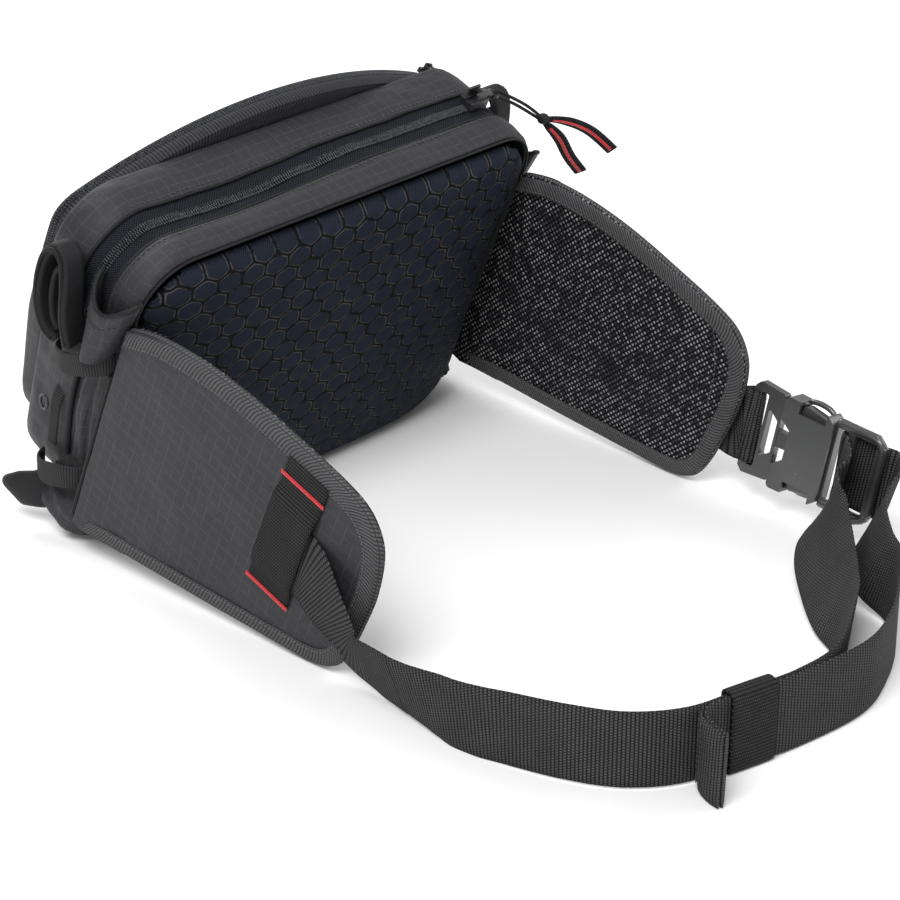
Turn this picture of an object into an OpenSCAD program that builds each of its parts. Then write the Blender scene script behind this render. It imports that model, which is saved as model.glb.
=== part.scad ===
// Waist pack: a small padded bag on a hip belt, with two padded hip wings, one closed
// webbing belt, a webbing keeper and a side-release buckle.
// Millimetres, +Z up, -Y towards the front of the belt ring, +X the wearer's side of the buckle.
// The origin is on the flat the lumbar pad rests on.

/* [Bag] */
// half width of the bag at its top
bag_half_top = 136; // [120:1:150]
// half width of the bag at its bottom
bag_half_bottom = 124; // [105:1:140]
// height of the bag's top above the seam datum
bag_top = 164; // [150:1:180]
// height of the bag's floor, below the seam datum
bag_floor = -19; // [-22:1:-15]
// depth of the main compartment, from the back wall to the front wall
main_depth = 61; // [50:1:75]
// depth of the front pocket
pocket_depth = 24; // [15:1:32]
// thickness of the shell fabric with its lining
shell_t = 1.8; // [1.2:0.1:3]
// how far the whole bag leans towards the belt
lean = 22.85; // [18:0.25:26]
// height of the wing seam's lower end above the ground
seam_rise = 16; // [14:0.5:18]
// how far the lumbar pad bulges
pad_bulge = 22; // [12:1:26]
// thickness of the honeycomb mesh layer
mesh_t = 1.6; // [1.2:0.1:2.5]

/* [Zips] */
// distance of the main zip's coil from the back wall
main_zip_y = 28; // [24:1:34]
// width of one side of a zip tape
tape_w = 8; // [6:0.5:10]
// width of a zip coil, both sides meshed
coil_w = 3.4; // [2.5:0.1:5]
// travel of the main slider
main_zip_travel = 200; // [120:5:215]
// travel of the front slider
front_zip_travel = 150; // [100:5:160]

/* [Wings] */
// distance of each wing's root from the middle
wing_x = 136; // [135.5:0.5:140]
// toe-in of the wings at rest
wing_toe = 2; // [0:0.25:3]
// thickness of a wing over its foam
wing_t = 6; // [5:0.5:9]
// width of the edge binding on each face
binding_w = 9.5; // [7:0.5:11]

/* [Belt] */
// width of the belt webbing
web_w = 38; // [38:1:40]
// thickness of the belt webbing
web_t = 1.8; // [1.4:0.1:2]
// height of the belt's centre line at the front
web_z = 20.2; // [20:0.1:24]
// length of the keeper along the webbing
keeper_len = 24; // [18:1:28]

/* [Buckle] */
// width of the buckle
buckle_w = 50; // [48:0.5:54]
// thickness of the buckle's housing
buckle_t = 11; // [10:0.5:13]
// length of the visible male frame
male_len = 19; // [17:0.5:22]
// length of the female housing
housing_len = 30; // [28:0.5:34]
// length of the adjuster frame
adjuster_len = 29; // [26:0.5:32]

/* [Hidden] */

// gap between pieces that move against each other
gap = 0.35;
// a cut that runs past the face it opens
past = 1;
// a length longer than the whole object
far = 700;
// the fabric and plastic colours
shell_c = [0.26, 0.26, 0.275];
dark_c = [0.13, 0.13, 0.14];
navy_c = [0.09, 0.11, 0.16];
plastic_c = [0.16, 0.16, 0.17];
red_c = [0.85, 0.13, 0.13];
metal_c = [0.3, 0.3, 0.31];

// ---- shared shapes ----

// the bag's own frame, leaning towards the belt: +Y is depth, +Z is height up the back
module in_bag() translate([0, 0, seam_rise]) rotate([lean, 0, 0]) children();

// the same piece on the left (side = -1) or the right (side = 1)
module on_side(side) mirror([side < 0 ? 1 : 0, 0, 0]) children();

// a prism along Y from y0 to y1 over a polygon drawn in X and Z
module prism(points, y0, y1) translate([0, y1, 0]) rotate([90, 0, 0]) linear_extrude(y1 - y0) polygon(points);

// a prism along X from x0 to x1 over a polygon drawn in Y and Z
module slab(points, x0, x1) translate([x0, 0, 0]) rotate([90, 0, 90]) linear_extrude(x1 - x0) polygon(points);

// the same with its outer corners rounded
module round_slab(points, x0, x1, r) translate([x0, 0, 0]) rotate([90, 0, 90]) linear_extrude(x1 - x0)
    offset(r = r, $fn = 24) offset(delta = -r) polygon(points);

function arc(c, r, a0, a1, n) = [for (i = [0:n]) let (a = a0 + (a1 - a0) * i / n) c + r * [cos(a), sin(a)]];

// outline of the bag seen from its back, drawn in by i
function bag_outline(i) = let (
    rb = 36, rt = 30, side = atan((bag_half_top - bag_half_bottom) / (bag_top - bag_floor)),
    cb = [bag_half_bottom - rb, bag_floor + rb], ct = [bag_half_top - rt, bag_top - rt],
    half = concat(arc(cb, rb - i, -90, -side, 6), arc(ct, rt - i, -side, 90, 8)))
    concat(half, [for (k = [len(half) - 1:-1:0]) [-half[k][0], half[k][1]]]);

// outline of the front pocket, with a crowned top, drawn in by i
pocket_crown = 9;
pocket_half = 128;
// radius of the pocket's crowned top, which its slider follows
crest_r = 298;
function pocket_top(x) = bag_top + pocket_crown - crest_r + sqrt(crest_r * crest_r - x * x);
function pocket_outline(i) = let (
    rb = 40, cb = [bag_half_bottom - 4 - rb, bag_floor + 12 + rb],
    half = concat(arc(cb, rb - i, -90, 0, 6), [[pocket_half - i, 118]],
        [for (k = [0:12]) let (x = (pocket_half - 7) * (1 - k / 12)) [x * (1 - i / pocket_half), pocket_top(x) - i]]))
    concat(half, [for (k = [len(half) - 2:-1:0]) [-half[k][0], half[k][1]]]);

function catmull(a, b, c, d, t) = 0.5 * (2 * b + (c - a) * t + (2 * a - 5 * b + 4 * c - d) * t * t
    + (3 * b - a - 3 * c + d) * t * t * t);
function spline(p, k) = let (n = len(p) - 1)
    concat([for (i = [0:n - 1]) for (j = [0:k - 1])
        catmull(p[max(i - 1, 0)], p[i], p[i + 1], p[min(i + 2, n)], j / k)], [p[n]]);

function unit(v) = v / norm(v);
function xyz(p) = [p[0], p[1], p[2]];
function tangent(p, i) = unit(xyz(p[min(i + 1, len(p) - 1)]) - xyz(p[max(i - 1, 0)]));
function upright(t, tilt) = let (z = [sin(tilt), 0, cos(tilt)]) unit(z - (z * t) * t);

// skin through sections that each have the same number of points
module loft(sections) {
    m = len(sections[0]);
    n = len(sections);
    polyhedron(
        points = [for (s = sections) for (p = s) p],
        faces = concat(
            [for (i = [0:n - 2]) for (j = [0:m - 1]) let (k = (j + 1) % m) [i * m + j, i * m + k, (i + 1) * m + k]],
            [for (i = [0:n - 2]) for (j = [0:m - 1]) let (k = (j + 1) % m) [i * m + j, (i + 1) * m + k, (i + 1) * m + j]],
            [[for (j = [m - 1:-1:0]) j]], [[for (j = [0:m - 1]) (n - 1) * m + j]]));
}

// webbing of width w and thickness t along a path; a path point is x, y, z and its tilt
module ribbon(path, w, t) loft([for (i = [0:len(path) - 1]) let (
    c = xyz(path[i]), tg = tangent(path, i), u = upright(tg, path[i][3]) * w / 2, v = cross(tg, u) * t / w)
    [c + u + v, c + u - v, c - u - v, c - u + v]]);

// a strip whose width runs along a given direction
module strip(path, across, w, t) loft([for (i = [0:len(path) - 1]) let (
    tg = tangent(path, i), u0 = across - (across * tg) * tg, u = unit(u0) * w / 2, v = cross(tg, u) * t / w)
    [path[i] + u + v, path[i] + u - v, path[i] - u - v, path[i] - u + v]]);

// a round cord along a path
module cord(path, r, sides) loft([for (i = [0:len(path) - 1]) let (
    tg = tangent(path, i), a = unit(cross(tg, [0.31, 0.95, 0.05])), b = cross(tg, a))
    [for (k = [0:sides - 1]) path[i] + r * (cos(-360 * k / sides) * a + sin(-360 * k / sides) * b)]]);

// everything above the ground
module above_ground() intersection() {
    children();
    translate([-far / 2, -far / 2, 0]) cube(far);
}

// the part of a piece above height z0 in the bag's own frame
module over(z0) intersection() {
    children();
    translate([-far / 2, -far / 2, z0]) cube(far);
}

// ---- the main compartment ----

zip_end = 100;
zip_y0 = main_zip_y - coil_w / 2 - tape_w;
zip_y1 = main_zip_y + coil_w / 2 + tape_w;
trim_in = shell_t;
tape_in = 0.6;

module top_ring(y0, y1, out, in) over(zip_end) difference() {
    prism(bag_outline(out), y0, y1);
    prism(bag_outline(in), y0 - past, y1 + past);
}

module main_shell() color(shell_c) above_ground() in_bag() difference() {
    prism(bag_outline(0), 0, main_depth);
    prism(bag_outline(shell_t), shell_t, main_depth - shell_t);
    translate([-far / 2, shell_t, zip_end]) cube([far, main_depth - 2 * shell_t, far]);
}

module main_trim_rear() color(shell_c) in_bag() top_ring(shell_t, zip_y0, 0, trim_in);
module main_trim_front() color(shell_c) in_bag() top_ring(zip_y1, main_depth - shell_t, 0, trim_in);
module main_tape_rear() color(navy_c) in_bag() top_ring(zip_y0, main_zip_y - coil_w / 2, tape_in, trim_in);
module main_tape_front() color(navy_c) in_bag() top_ring(main_zip_y + coil_w / 2, zip_y1, tape_in, trim_in);
module main_coil() color(navy_c) in_bag() top_ring(main_zip_y - coil_w / 2, main_zip_y + coil_w / 2, 0, trim_in);

// ---- a zip slider with its puller; at the origin, on the coil, closing towards +X ----

slider_len = 13;
slider_w = 9;
slider_h = 4;
bail_h = 4.4;
// height of the pin above the slider's body
pin_h = 2.8;
pin_r = 0.9;

module slider_body() difference() {
    union() {
        translate([-slider_len / 2, -slider_w / 2, gap]) cube([slider_len, slider_w, slider_h]);
        for (s = [-1, 1]) translate([-3, s * 2.9 - 0.7, gap + slider_h]) cube([8, 1.4, bail_h]);
        translate([3.5, 0, gap + slider_h + pin_h]) rotate([90, 0, 0]) cylinder(h = 5.8, r = pin_r, center = true, $fn = 20);
    }
    translate([-slider_len, -1.3, gap + slider_h - 1.2]) cube([2 * slider_len, 2.6, 1.2 + past]);
}

puller_len = 15;
module puller(droop) translate([3.5, 0, gap + slider_h + pin_h]) rotate([0, droop, 0]) difference() {
    union() {
        translate([0, 0, -0.8]) translate([-1.9, -2, 0]) cube([puller_len - 1, 4, 1.6]);
        translate([puller_len - 3, 0, -0.8]) cylinder(h = 1.6, r = 3.4, $fn = 28);
    }
    rotate([90, 0, 0]) cylinder(h = 20, r = pin_r + 0.25, center = true, $fn = 20);
    translate([puller_len - 3, 0, -2]) cylinder(h = 4, r = 1.9, $fn = 24);
}

pull_droop = 24;
main_slider_x = 110;
main_slider_z = bag_top;
pull_pin = [main_slider_x + 3.5, main_zip_y, main_slider_z + gap + slider_h + pin_h];

module main_slider() color(metal_c) in_bag() translate([main_slider_x, main_zip_y, main_slider_z]) slider_body();
module main_puller() color(metal_c) in_bag() translate([main_slider_x, main_zip_y, main_slider_z]) puller(pull_droop);

// the pull's cord runs from the puller's eye to the knot of webbing tails
eye = pull_pin + [(puller_len - 3) * cos(pull_droop), 0, -(puller_len - 3) * sin(pull_droop)];
knot = [157, 13, 150];
function by_eye(x, z) = eye + [x * cos(pull_droop) + z * sin(pull_droop), 0, z * cos(pull_droop) - x * sin(pull_droop)];
module main_pull_cord() color(dark_c) in_bag() cord(spline([knot + [-2, 1.1, -0.8], (eye + knot) / 2 + [0.5, 2.6, -1.2],
    by_eye(5.2, -1.6), by_eye(2.4, -2.3), by_eye(0.2, -0.9), by_eye(0.2, 0.9), by_eye(2.4, 2.3), by_eye(5.2, 1.6),
    (eye + knot) / 2 + [2.5, -2.3, 1.4], knot + [-2, -1.1, 0.8]], 5), 0.8, 8);

tail_w = 7;
tail_t = 1.5;
tail_paths = [[knot, knot + [13, -6, -1.5], knot + [25, -14, -6], knot + [35, -25, -14]],
    [knot + [0.4, -0.4, -2.2], knot + [9, -7, -10.5], knot + [17, -12, -22], knot + [26, -17, -32]]];
tail_across = [0.25, -0.45, 0.86];
module main_pull_tails() color(dark_c) in_bag() for (p = tail_paths) strip(spline(p, 5), tail_across, tail_w, tail_t);
// the first of a tail's points that its stitching reaches, past where the tails cross
stitch_from = 6;
module main_pull_stitching() color(red_c) in_bag() for (p = tail_paths) let (s = spline(p, 5))
    for (f = [-1, 1]) strip([for (i = [stitch_from:len(s) - 2]) s[i] + f * unit(cross(tangent(s, i), tail_across)) * (tail_t / 2 + 0.33)], tail_across, 1.5, 0.46);

// ---- the front pocket ----

pocket_y = main_depth + 0.01;
pocket_zip_y = pocket_y + 9;
pocket_side = [[pocket_y, bag_floor], [pocket_y + pocket_depth - 8, bag_floor + 12], [pocket_y + pocket_depth - 2, 22],
    [pocket_y + pocket_depth, 55], [pocket_y + pocket_depth - 1, 100], [pocket_y + pocket_depth - 6, 140],
    [pocket_y + pocket_depth - 11, 163], [pocket_y + pocket_depth - 14, bag_top + pocket_crown + 3], [pocket_y, bag_top + pocket_crown + 3]];
pocket_zip_end = 122;

function pocket_inner(t) = [[pocket_y + t, bag_floor + 2 * t], [pocket_y + pocket_depth - 8 - t, bag_floor + 12 + t], [pocket_y + pocket_depth - 2 - t, 22 + t / 2],
    [pocket_y + pocket_depth - t, 55], [pocket_y + pocket_depth - 1 - t, 100], [pocket_y + pocket_depth - 6 - t, 140 - t / 3],
    [pocket_y + pocket_depth - 11 - t, 163 - t / 3], [pocket_y + pocket_depth - 14 - t, bag_top + pocket_crown + 3], [pocket_y + t, bag_top + pocket_crown + 3]];

module pocket_body() intersection() {
    prism(pocket_outline(0), pocket_y, pocket_y + pocket_depth + past);
    slab(pocket_side, -far / 2, far / 2);
}

module front_pocket() color(shell_c) above_ground() in_bag() difference() {
    pocket_body();
    intersection() {
        prism(pocket_outline(shell_t), pocket_y, pocket_y + pocket_depth);
        slab(pocket_inner(shell_t), -far / 2, far / 2);
    }
    translate([-far / 2, pocket_y - past, pocket_zip_end]) cube([far, pocket_zip_y + coil_w / 2 + 2 - pocket_y + past, far]);
}

module pocket_ring(y0, y1, out, in) over(pocket_zip_end) difference() {
    prism(pocket_outline(out), y0, y1);
    prism(pocket_outline(in), y0 - past, y1 + past);
}

module front_tape_rear() color(dark_c) in_bag() {
    pocket_ring(pocket_y, pocket_zip_y - coil_w / 2, 0, shell_t);
    over(pocket_zip_end) difference() {
        prism(pocket_outline(0), pocket_y, pocket_y + 1.4);
        prism(pocket_outline(pocket_crown + 3), pocket_y - past, pocket_y + 2 * past);
    }
}
module front_coil() color(dark_c) in_bag() pocket_ring(pocket_zip_y - coil_w / 2, pocket_zip_y + coil_w / 2, -0.4, shell_t);
module front_tape_front() color(dark_c) in_bag() pocket_ring(pocket_zip_y + coil_w / 2, pocket_zip_y + coil_w / 2 + 2, 0, shell_t);

// where the front slider sits on the crown, in degrees from the middle
front_rest = 24;
// size of the front slider against the main one
front_scale = 0.75;
front_droop = 12;
front_lift = 0.5;
module on_crown() in_bag() translate([0, pocket_zip_y, bag_top + pocket_crown - crest_r]) rotate([0, front_rest, 0])
    translate([0, 0, crest_r + front_lift]) scale(front_scale) children();
module front_slider() color(metal_c) on_crown() slider_body();
module front_puller() color(metal_c) on_crown() puller(front_droop);

// ---- the lumbar pad ----

pad_half = 130;
pad_profile = [[0, 0.62], [0.05, 0.86], [0.11, 0.97], [0.19, 1], [0.3, 0.95], [0.42, 0.84], [0.55, 0.68], [0.68, 0.5], [0.8, 0.34], [0.9, 0.22], [0.96, 0.15], [1, 0.05]];
pad_r = 34;
function corner(x, half) = let (d = max(0, abs(x) - (half - pad_r))) pad_r - sqrt(max(0, pad_r * pad_r - d * d));
function pad_section(x, i) = let (
    half = pad_half - i, lo = bag_floor + 1 + i + corner(x, half), hi = bag_top - 2.4 - i - corner(x, half),
    fade = 1 - pow(abs(x) / half, 5))
    concat([[x, -0.01, hi], [x, -0.01, lo]],
        [for (p = pad_profile) [x, -0.7 - max(0, pad_bulge * p[1] * (0.12 + 0.88 * fade) - i), lo + (hi - lo) * p[0]]]);
pad_steps = 26;
function pad_x(k, half) = let (u = 2 * k / pad_steps - 1) half * (u < 0 ? -1 : 1) * (1 - pow(1 - abs(u), 1.7));
module pad(i) loft([for (k = [0:pad_steps]) let (x = pad_x(k, pad_half - i - 0.01)) pad_section(x, i)]);

// the flat panel under the pad, which the bag stands on
base_x = 95;
base_y0 = -11;
base_y1 = 5.2;
module base_panel() color(shell_c) translate([-base_x, base_y0, 0]) cube([2 * base_x, base_y1 - base_y0, mesh_t]);

module back_mesh() color(navy_c) difference() {
    above_ground() in_bag() difference() {
        pad(0);
        pad(mesh_t);
        translate([-far / 2, -0.4, -far / 2]) cube(far);
    }
    translate([-base_x - 0.02, base_y0 - 0.02, -past]) cube([2 * base_x + 0.04, base_y1 - base_y0 + 0.04, past + mesh_t + 0.02]);
}
module back_foam() color(dark_c) difference() {
    above_ground() in_bag() difference() {
        pad(mesh_t + 0.02);
        translate([-far / 2, -0.4, -far / 2]) cube(far);
    }
    translate([-far / 2, -far / 2, -past]) cube([far, far, past + mesh_t + 0.02]);
}

// ---- the gathered ends of the bag ----

end_x = bag_half_top + 0.4;
fold_rim = [[0, -2], [6, 1], [9.5, 8], [10, 15], [7, 22], [0, 25]];
fold_inside = [[-2, 0.2], [5, 2.8], [7.9, 8.6], [8.3, 14.6], [5.8, 20.4], [-2, 22.8]];
fold_z = 109;
fold_h = 33;
module fold_skin(rim, f0, f1) loft([for (k = [6:-1:0]) let (f = f0 + (f1 - f0) * k / 6, grow = 0.35 + 0.65 * min(1, f))
    [for (p = rim) [end_x + 1 + p[0] * (1.15 - 0.25 * f), 11 + (p[1] - 11) * grow, fold_z + fold_h * f]]]);
module end_fold(side) color(shell_c) in_bag() on_side(side) difference() {
    fold_skin(fold_rim, 0, 1);
    fold_skin(fold_inside, 0.1, 1.05);
}

loop_path = [[0, 34, 94], [3.2, 38, 112], [4, 41, 128], [4, 45, 138], [4, 51, 139], [4, 55, 131], [3.5, 54, 117], [2, 49, 104], [0, 43, 95]];
module end_loop(side) color(dark_c) in_bag() on_side(side)
    strip([for (p = spline(loop_path, 4)) [end_x + 7 + p[0], p[1], p[2]]], [1, 0, 0], 12, 1.4);

upper_band_path = [[0.2, 4, 103], [8, 7, 102], [12.5, 15, 98.5], [12, 26, 91], [8, 35, 86], [0.2, 41, 83]];
module upper_band(side) color(dark_c) in_bag() on_side(side)
    strip([for (p = spline(upper_band_path, 4)) [end_x - 3 + p[0], p[1], p[2]]], [0, 0.35, 0.94], 11, 1.3);

lower_band_path = [[0, 4.5, 24], [7, 7.5, 23], [11, 15, 20], [10.5, 26, 13], [7, 34, 9], [0, 38, 7]];
module lower_band(side) color(dark_c) in_bag() on_side(side)
    strip([for (p = spline(lower_band_path, 4)) [end_x - 8.5 + p[0], p[1], p[2]]], [0, 0.35, 0.94], 12, 1.3);

// the side of the bag leans in towards its floor
side_low = [123.92, 14.65];
side_high = [135.94, 132.04];
function side_x(z) = side_low[0] + (side_high[0] - side_low[0]) * (z - side_low[1]) / (side_high[1] - side_low[1]);

gusset_z0 = 30;
gusset_z1 = 92;
module gusset(side) color(shell_c) in_bag() on_side(side) loft([for (k = [0:10]) let (
    f = k / 10, z = gusset_z0 + (gusset_z1 - gusset_z0) * f, swell = 0.35 + 0.65 * sin(180 * f), x = side_x(z) + 0.05)
    [for (q = [0:12]) [x + 7.5 * swell * sin(15 * q), 12.5 + (1 - 2 * q / 12) * (8.5 + 1.5 * swell), z]]]);

module gusset_piping(side) color(dark_c) in_bag() on_side(side)
    cord([for (k = [0:12]) let (f = k / 12, z = gusset_z0 + 2 + (gusset_z1 - gusset_z0 - 4) * f) [side_x(z) + 1.65, 24.6 + 1.2 * sin(180 * f), z]], 1.5, 10);

corner_flap = [[0.6, 16, -3], [6, 20, -7], [11, 27, -15], [13, 34, -22], [10, 40, -30]];
module corner_fold(side) {
    color(dark_c) above_ground() in_bag() on_side(side)
        strip([for (p = spline(corner_flap, 4)) [side_x(0) + 1 + p[0], p[1], p[2]]], [0.3, 0.85, 0.43], 21, 2.6);
}

side_strap_path = [[0.2, 36, 52], [3.4, 35, 44], [5, 33.5, 32], [5.4, 32, 22]];
module side_strap(side) color(dark_c) in_bag() on_side(side)
    strip([for (p = spline(side_strap_path, 4)) [side_x(p[2]) + 0.9 + p[0], p[1], p[2]]], [0.1, 1, 0.1], 6, 1.3);

module side_ring(side) color(metal_c) in_bag() on_side(side)
    translate([side_x(46) + 4.4, 44, 42]) rotate([0, 90, 12]) rotate_extrude($fn = 32) translate([3.4, 0]) circle(r = 0.8, $fn = 12);

// ---- the wings, drawn in Y and Z at their rest slope ----

root_lean = tan(lean);
wing_edge = [[-13.0, 29.5], [-46.6, 135.2], [-70, 137.2], [-97, 133.6], [-126, 125.6], [-157, 113.5], [-183, 102.3], [-198, 93], [-205.5, 81], [-206.6, 68],
    [-202, 49], [-194, 31], [-184.5, 13], [-175, 3.6], [-162, 1.2], [-145, 2.1], [-120, 4.2], [-86, 7.1], [-45, 11], [-8, 14.6]];
function root_y(z) = -(z - seam_rise) * root_lean - 1.2;
wing_controls = [for (k = [1:len(wing_edge) - 1]) wing_edge[k]];
function wing_outline(i) = let (
    p = spline(wing_controls, 4), n = len(p),
    drawn = [for (k = [0:n - 1]) let (t = unit(p[min(k + 1, n - 1)] - p[max(k - 1, 0)])) p[k] + i * [-t[1], t[0]]],
    z0 = drawn[n - 1][1], z1 = drawn[0][1])
    concat([[root_y(z1), z1]], [for (q = drawn) if (q[0] < root_y(q[1]) - 0.5) q], [[root_y(z0), z0]]);

root_axis = [0, -sin(lean), cos(lean)];
module on_wing(side) on_side(side) translate([wing_x, 0, seam_rise]) rotate(a = -wing_toe, v = root_axis) translate([0, 0, -seam_rise]) children();

skin_t = 1.1;
tape_t = 0.8;
module wing_shell(side) color(shell_c) on_wing(side) slab(wing_outline(1.2), wing_t / 2 - skin_t, wing_t / 2);
module wing_foam(side) color(dark_c) on_wing(side) slab(wing_outline(1.2), -wing_t / 2 + skin_t, wing_t / 2 - skin_t);
module wing_mesh(side) color(navy_c) on_wing(side) slab(wing_outline(1.2), -wing_t / 2, -wing_t / 2 + skin_t);
module wing_binding(side) color(dark_c) on_wing(side) difference() {
    slab(wing_outline(0), -wing_t / 2 - tape_t, wing_t / 2 + tape_t);
    slab(wing_outline(1.2), -wing_t / 2, wing_t / 2);
    translate([0, 7, 0]) slab(wing_outline(binding_w), -far / 2, far / 2);
    translate([0, -3, -8]) slab(wing_outline(binding_w), -far / 2, -wing_t / 2 - far);
}

// the webbing strip stitched over the belt's end, with its bartacks
strip_c = [-147, 58.5];
strip_len = 71;
strip_w = 26;
strip_lift = wing_t / 2 + web_t + 1.1;
module on_strip(side) on_wing(side) translate([0, strip_c[0], strip_c[1]]) rotate([lean, 0, 0]) children();
module wing_strip(side) color(dark_c) on_strip(side) union() {
    translate([strip_lift, -strip_w / 2, -strip_len / 2 + 6]) cube([1.3, strip_w, strip_len - 12]);
    for (s = [-1, 1]) translate([wing_t / 2 + 0.01, -strip_w / 2, s * (strip_len / 2 - 4.5) - 4.5]) cube([1.3 + 1.2, strip_w, 9]);
    for (s = [-1, 1]) translate([wing_t / 2 + 1.3, -strip_w / 2, s * (strip_len / 2 - 9) - 3]) cube([strip_lift - wing_t / 2, strip_w, 6]);
}
module bartacks(side) color(red_c) on_strip(side) for (s = [-1, 1])
    translate([wing_t / 2 + 2.52, -strip_w / 2 - 1, s * (strip_len / 2 - 1.6) - 1.3]) cube([0.6, strip_w + 2, 2.6]);

// ---- the belt ----

pivot = [wing_x, -203, 36.2];
stub_x = wing_t / 2 + tape_t + 0.1;
drop = tan(lean);

// webbing from under the strip to the wing's tip, lying over the edge binding
module web_stub(side, t, end) color(dark_c) on_wing(side) strip([
    [wing_t / 2 + 0.2 + t / 2, strip_c[0] + 3, strip_c[1] + 3 * drop],
    [wing_t / 2 + 0.2 + t / 2, strip_c[0] - 16, strip_c[1] - 16 * drop],
    [wing_t / 2 + 0.5 + t / 2, -180, strip_c[1] + (-180 - strip_c[0]) * drop],
    [stub_x + 0.2 + t / 2, -187, strip_c[1] + (-187 - strip_c[0]) * drop],
    [stub_x + 0.2 + t / 2, end, strip_c[1] + (end - strip_c[0]) * drop]], root_axis, web_w, t);
module belt_stub() web_stub(-1, web_t, -202);
module buckle_web_stub() web_stub(1, web_t, -194.5);

// the short layer that leads the belt off the left wing
lead_x = -135.3;
module belt_lead() color(dark_c) ribbon(spline([
    [lead_x, -204.2, 35.6, 0], [lead_x, -220, 28.9, 0], [lead_x, -238, 22.6, 0], [lead_x, -252, web_z, 0]], 4), web_w - 1, 1.1);

// the belt: left leg, front, inner layer, round the adjuster's bar, outer layer, tail
belt_path = [[-133.3, -205.5, 35.0, 0], [-133.3, -220, 28.9, 0], [-133.3, -238, 22.8, 0], [-133.1, -256, web_z, 0],
    [-131.4, -284, web_z, 0], [-126, -313, web_z, 0], [-113, -336, web_z, 0], [-92, -350.5, web_z, 0],
    [-64, -358, web_z, 0], [-36, -365.5, web_z, 0], [0, -366, web_z, 0], [40, -351, 21.6, 0], [74, -327, 24.6, 0],
    [100, -305, 28.8, 3], [119, -291, 32.6, 7], [129.6, -282.5, 34.6, 9]];
buckle_at = [136, -205.5, 41.5];
buckle_drop = 5;
buckle_tilt = 10;
module in_buckle() translate(buckle_at) rotate([buckle_drop, 0, 0]) rotate([0, buckle_tilt, 0]) children();
function buckle_point(x, l) = let (
    a = [x * cos(buckle_tilt), -l, -x * sin(buckle_tilt)])
    concat(buckle_at + [a[0], a[1] * cos(buckle_drop) - a[2] * sin(buckle_drop), a[1] * sin(buckle_drop) + a[2] * cos(buckle_drop)], [buckle_tilt]);
layer_x = 3.1;
adj_bar = [male_len + 2 + housing_len + 9, 3.6];
turn = [for (k = [0:8]) let (a = 180 * k / 8) buckle_point(-layer_x * cos(a), adj_bar[0] + adj_bar[1] / 2 - 3.2 - 2.2 * sin(a))];
outer_path = [[142, -291, 33.2, 7], [139.5, -304, 30.2, 4], [126, -324, 25.4, 0], [100, -343, 22, 0], [56, -363.5, web_z, 0],
    [8, -373.5, web_z, 0], [-36, -368.2, web_z, 0], [-64, -360.7, web_z, 0], [-84, -356.0, web_z, 0], [-92, -361, web_z, 0], [-99, -371, 19.6, 0]];
belt_line = concat(spline(belt_path, 5), [buckle_point(-layer_x - 0.3, male_len + 2 + housing_len + adjuster_len - 3)],
    turn, [buckle_point(layer_x + 0.3, male_len + 2 + housing_len + adjuster_len - 3)], spline(outer_path, 5));
module belt_webbing() color(dark_c) ribbon(belt_line, web_w, web_t);

// the keeper, a webbing sleeve on the belt's straight run
keeper_c = [-62, -359.6];
keeper_turn = atan(-7.5 / 28);
keeper_in = 2 * web_t + 2.4;
module belt_keeper() color(dark_c) translate([keeper_c[0], keeper_c[1], web_z]) rotate([0, 0, keeper_turn]) difference() {
    cube([keeper_len, keeper_in + 2.6, web_w + 3.4], center = true);
    cube([keeper_len + 2 * past, keeper_in, web_w + 0.9], center = true);
}

// ---- the buckle; in its own frame the length runs to -Y and the width is along Z ----

bar_l = 4.2;
module buckle_web_loop() color(dark_c) in_buckle() difference() {
    translate([-3.9, -bar_l - 2.2, -web_w / 2]) cube([7.8, bar_l + 4.6, web_w]);
    translate([-2.6, -bar_l - 1.0, -web_w / 2 - past]) cube([5.2, bar_l + 2.2, web_w + 2 * past]);
}

module buckle_male() color(plastic_c) in_buckle() {
    difference() {
        round_slab([[0, -buckle_w / 2 + 3], [-3, -buckle_w / 2], [-male_len, -buckle_w / 2 + 1.5], [-male_len, buckle_w / 2 - 1.5], [-3, buckle_w / 2], [0, buckle_w / 2 - 3]], -2.3, 2.3, 1.6);
        round_slab([[-bar_l, -web_w / 2 - 0.8], [-9, -web_w / 2 - 0.8], [-9, web_w / 2 + 0.8], [-bar_l, web_w / 2 + 0.8]], -10, 10, 1);
        round_slab([[-11, -13.5], [-17.2, -8.5], [-17.2, 8.5], [-11, 13.5]], -10, 10, 1);
    }
    slab([[-male_len + 1, -4.5], [-male_len - 24, -3], [-male_len - 24, 3], [-male_len + 1, 4.5]], -2, 2);
}

arm_root = [-male_len - 0.3, 15];
arm_shape = [[0, -2.2], [-26, -1.2], [-27.5, 1.5], [-26, 6.2], [-14, 8.2], [-11, 7.2], [-10, 1.6], [0, 1.8]];
module latch_arm(s) color(plastic_c) in_buckle() mirror([0, 0, s < 0 ? 1 : 0])
    slab([for (p = arm_shape) [arm_root[0] + p[0], arm_root[1] + p[1]]], -2.6, 2.6);

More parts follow.
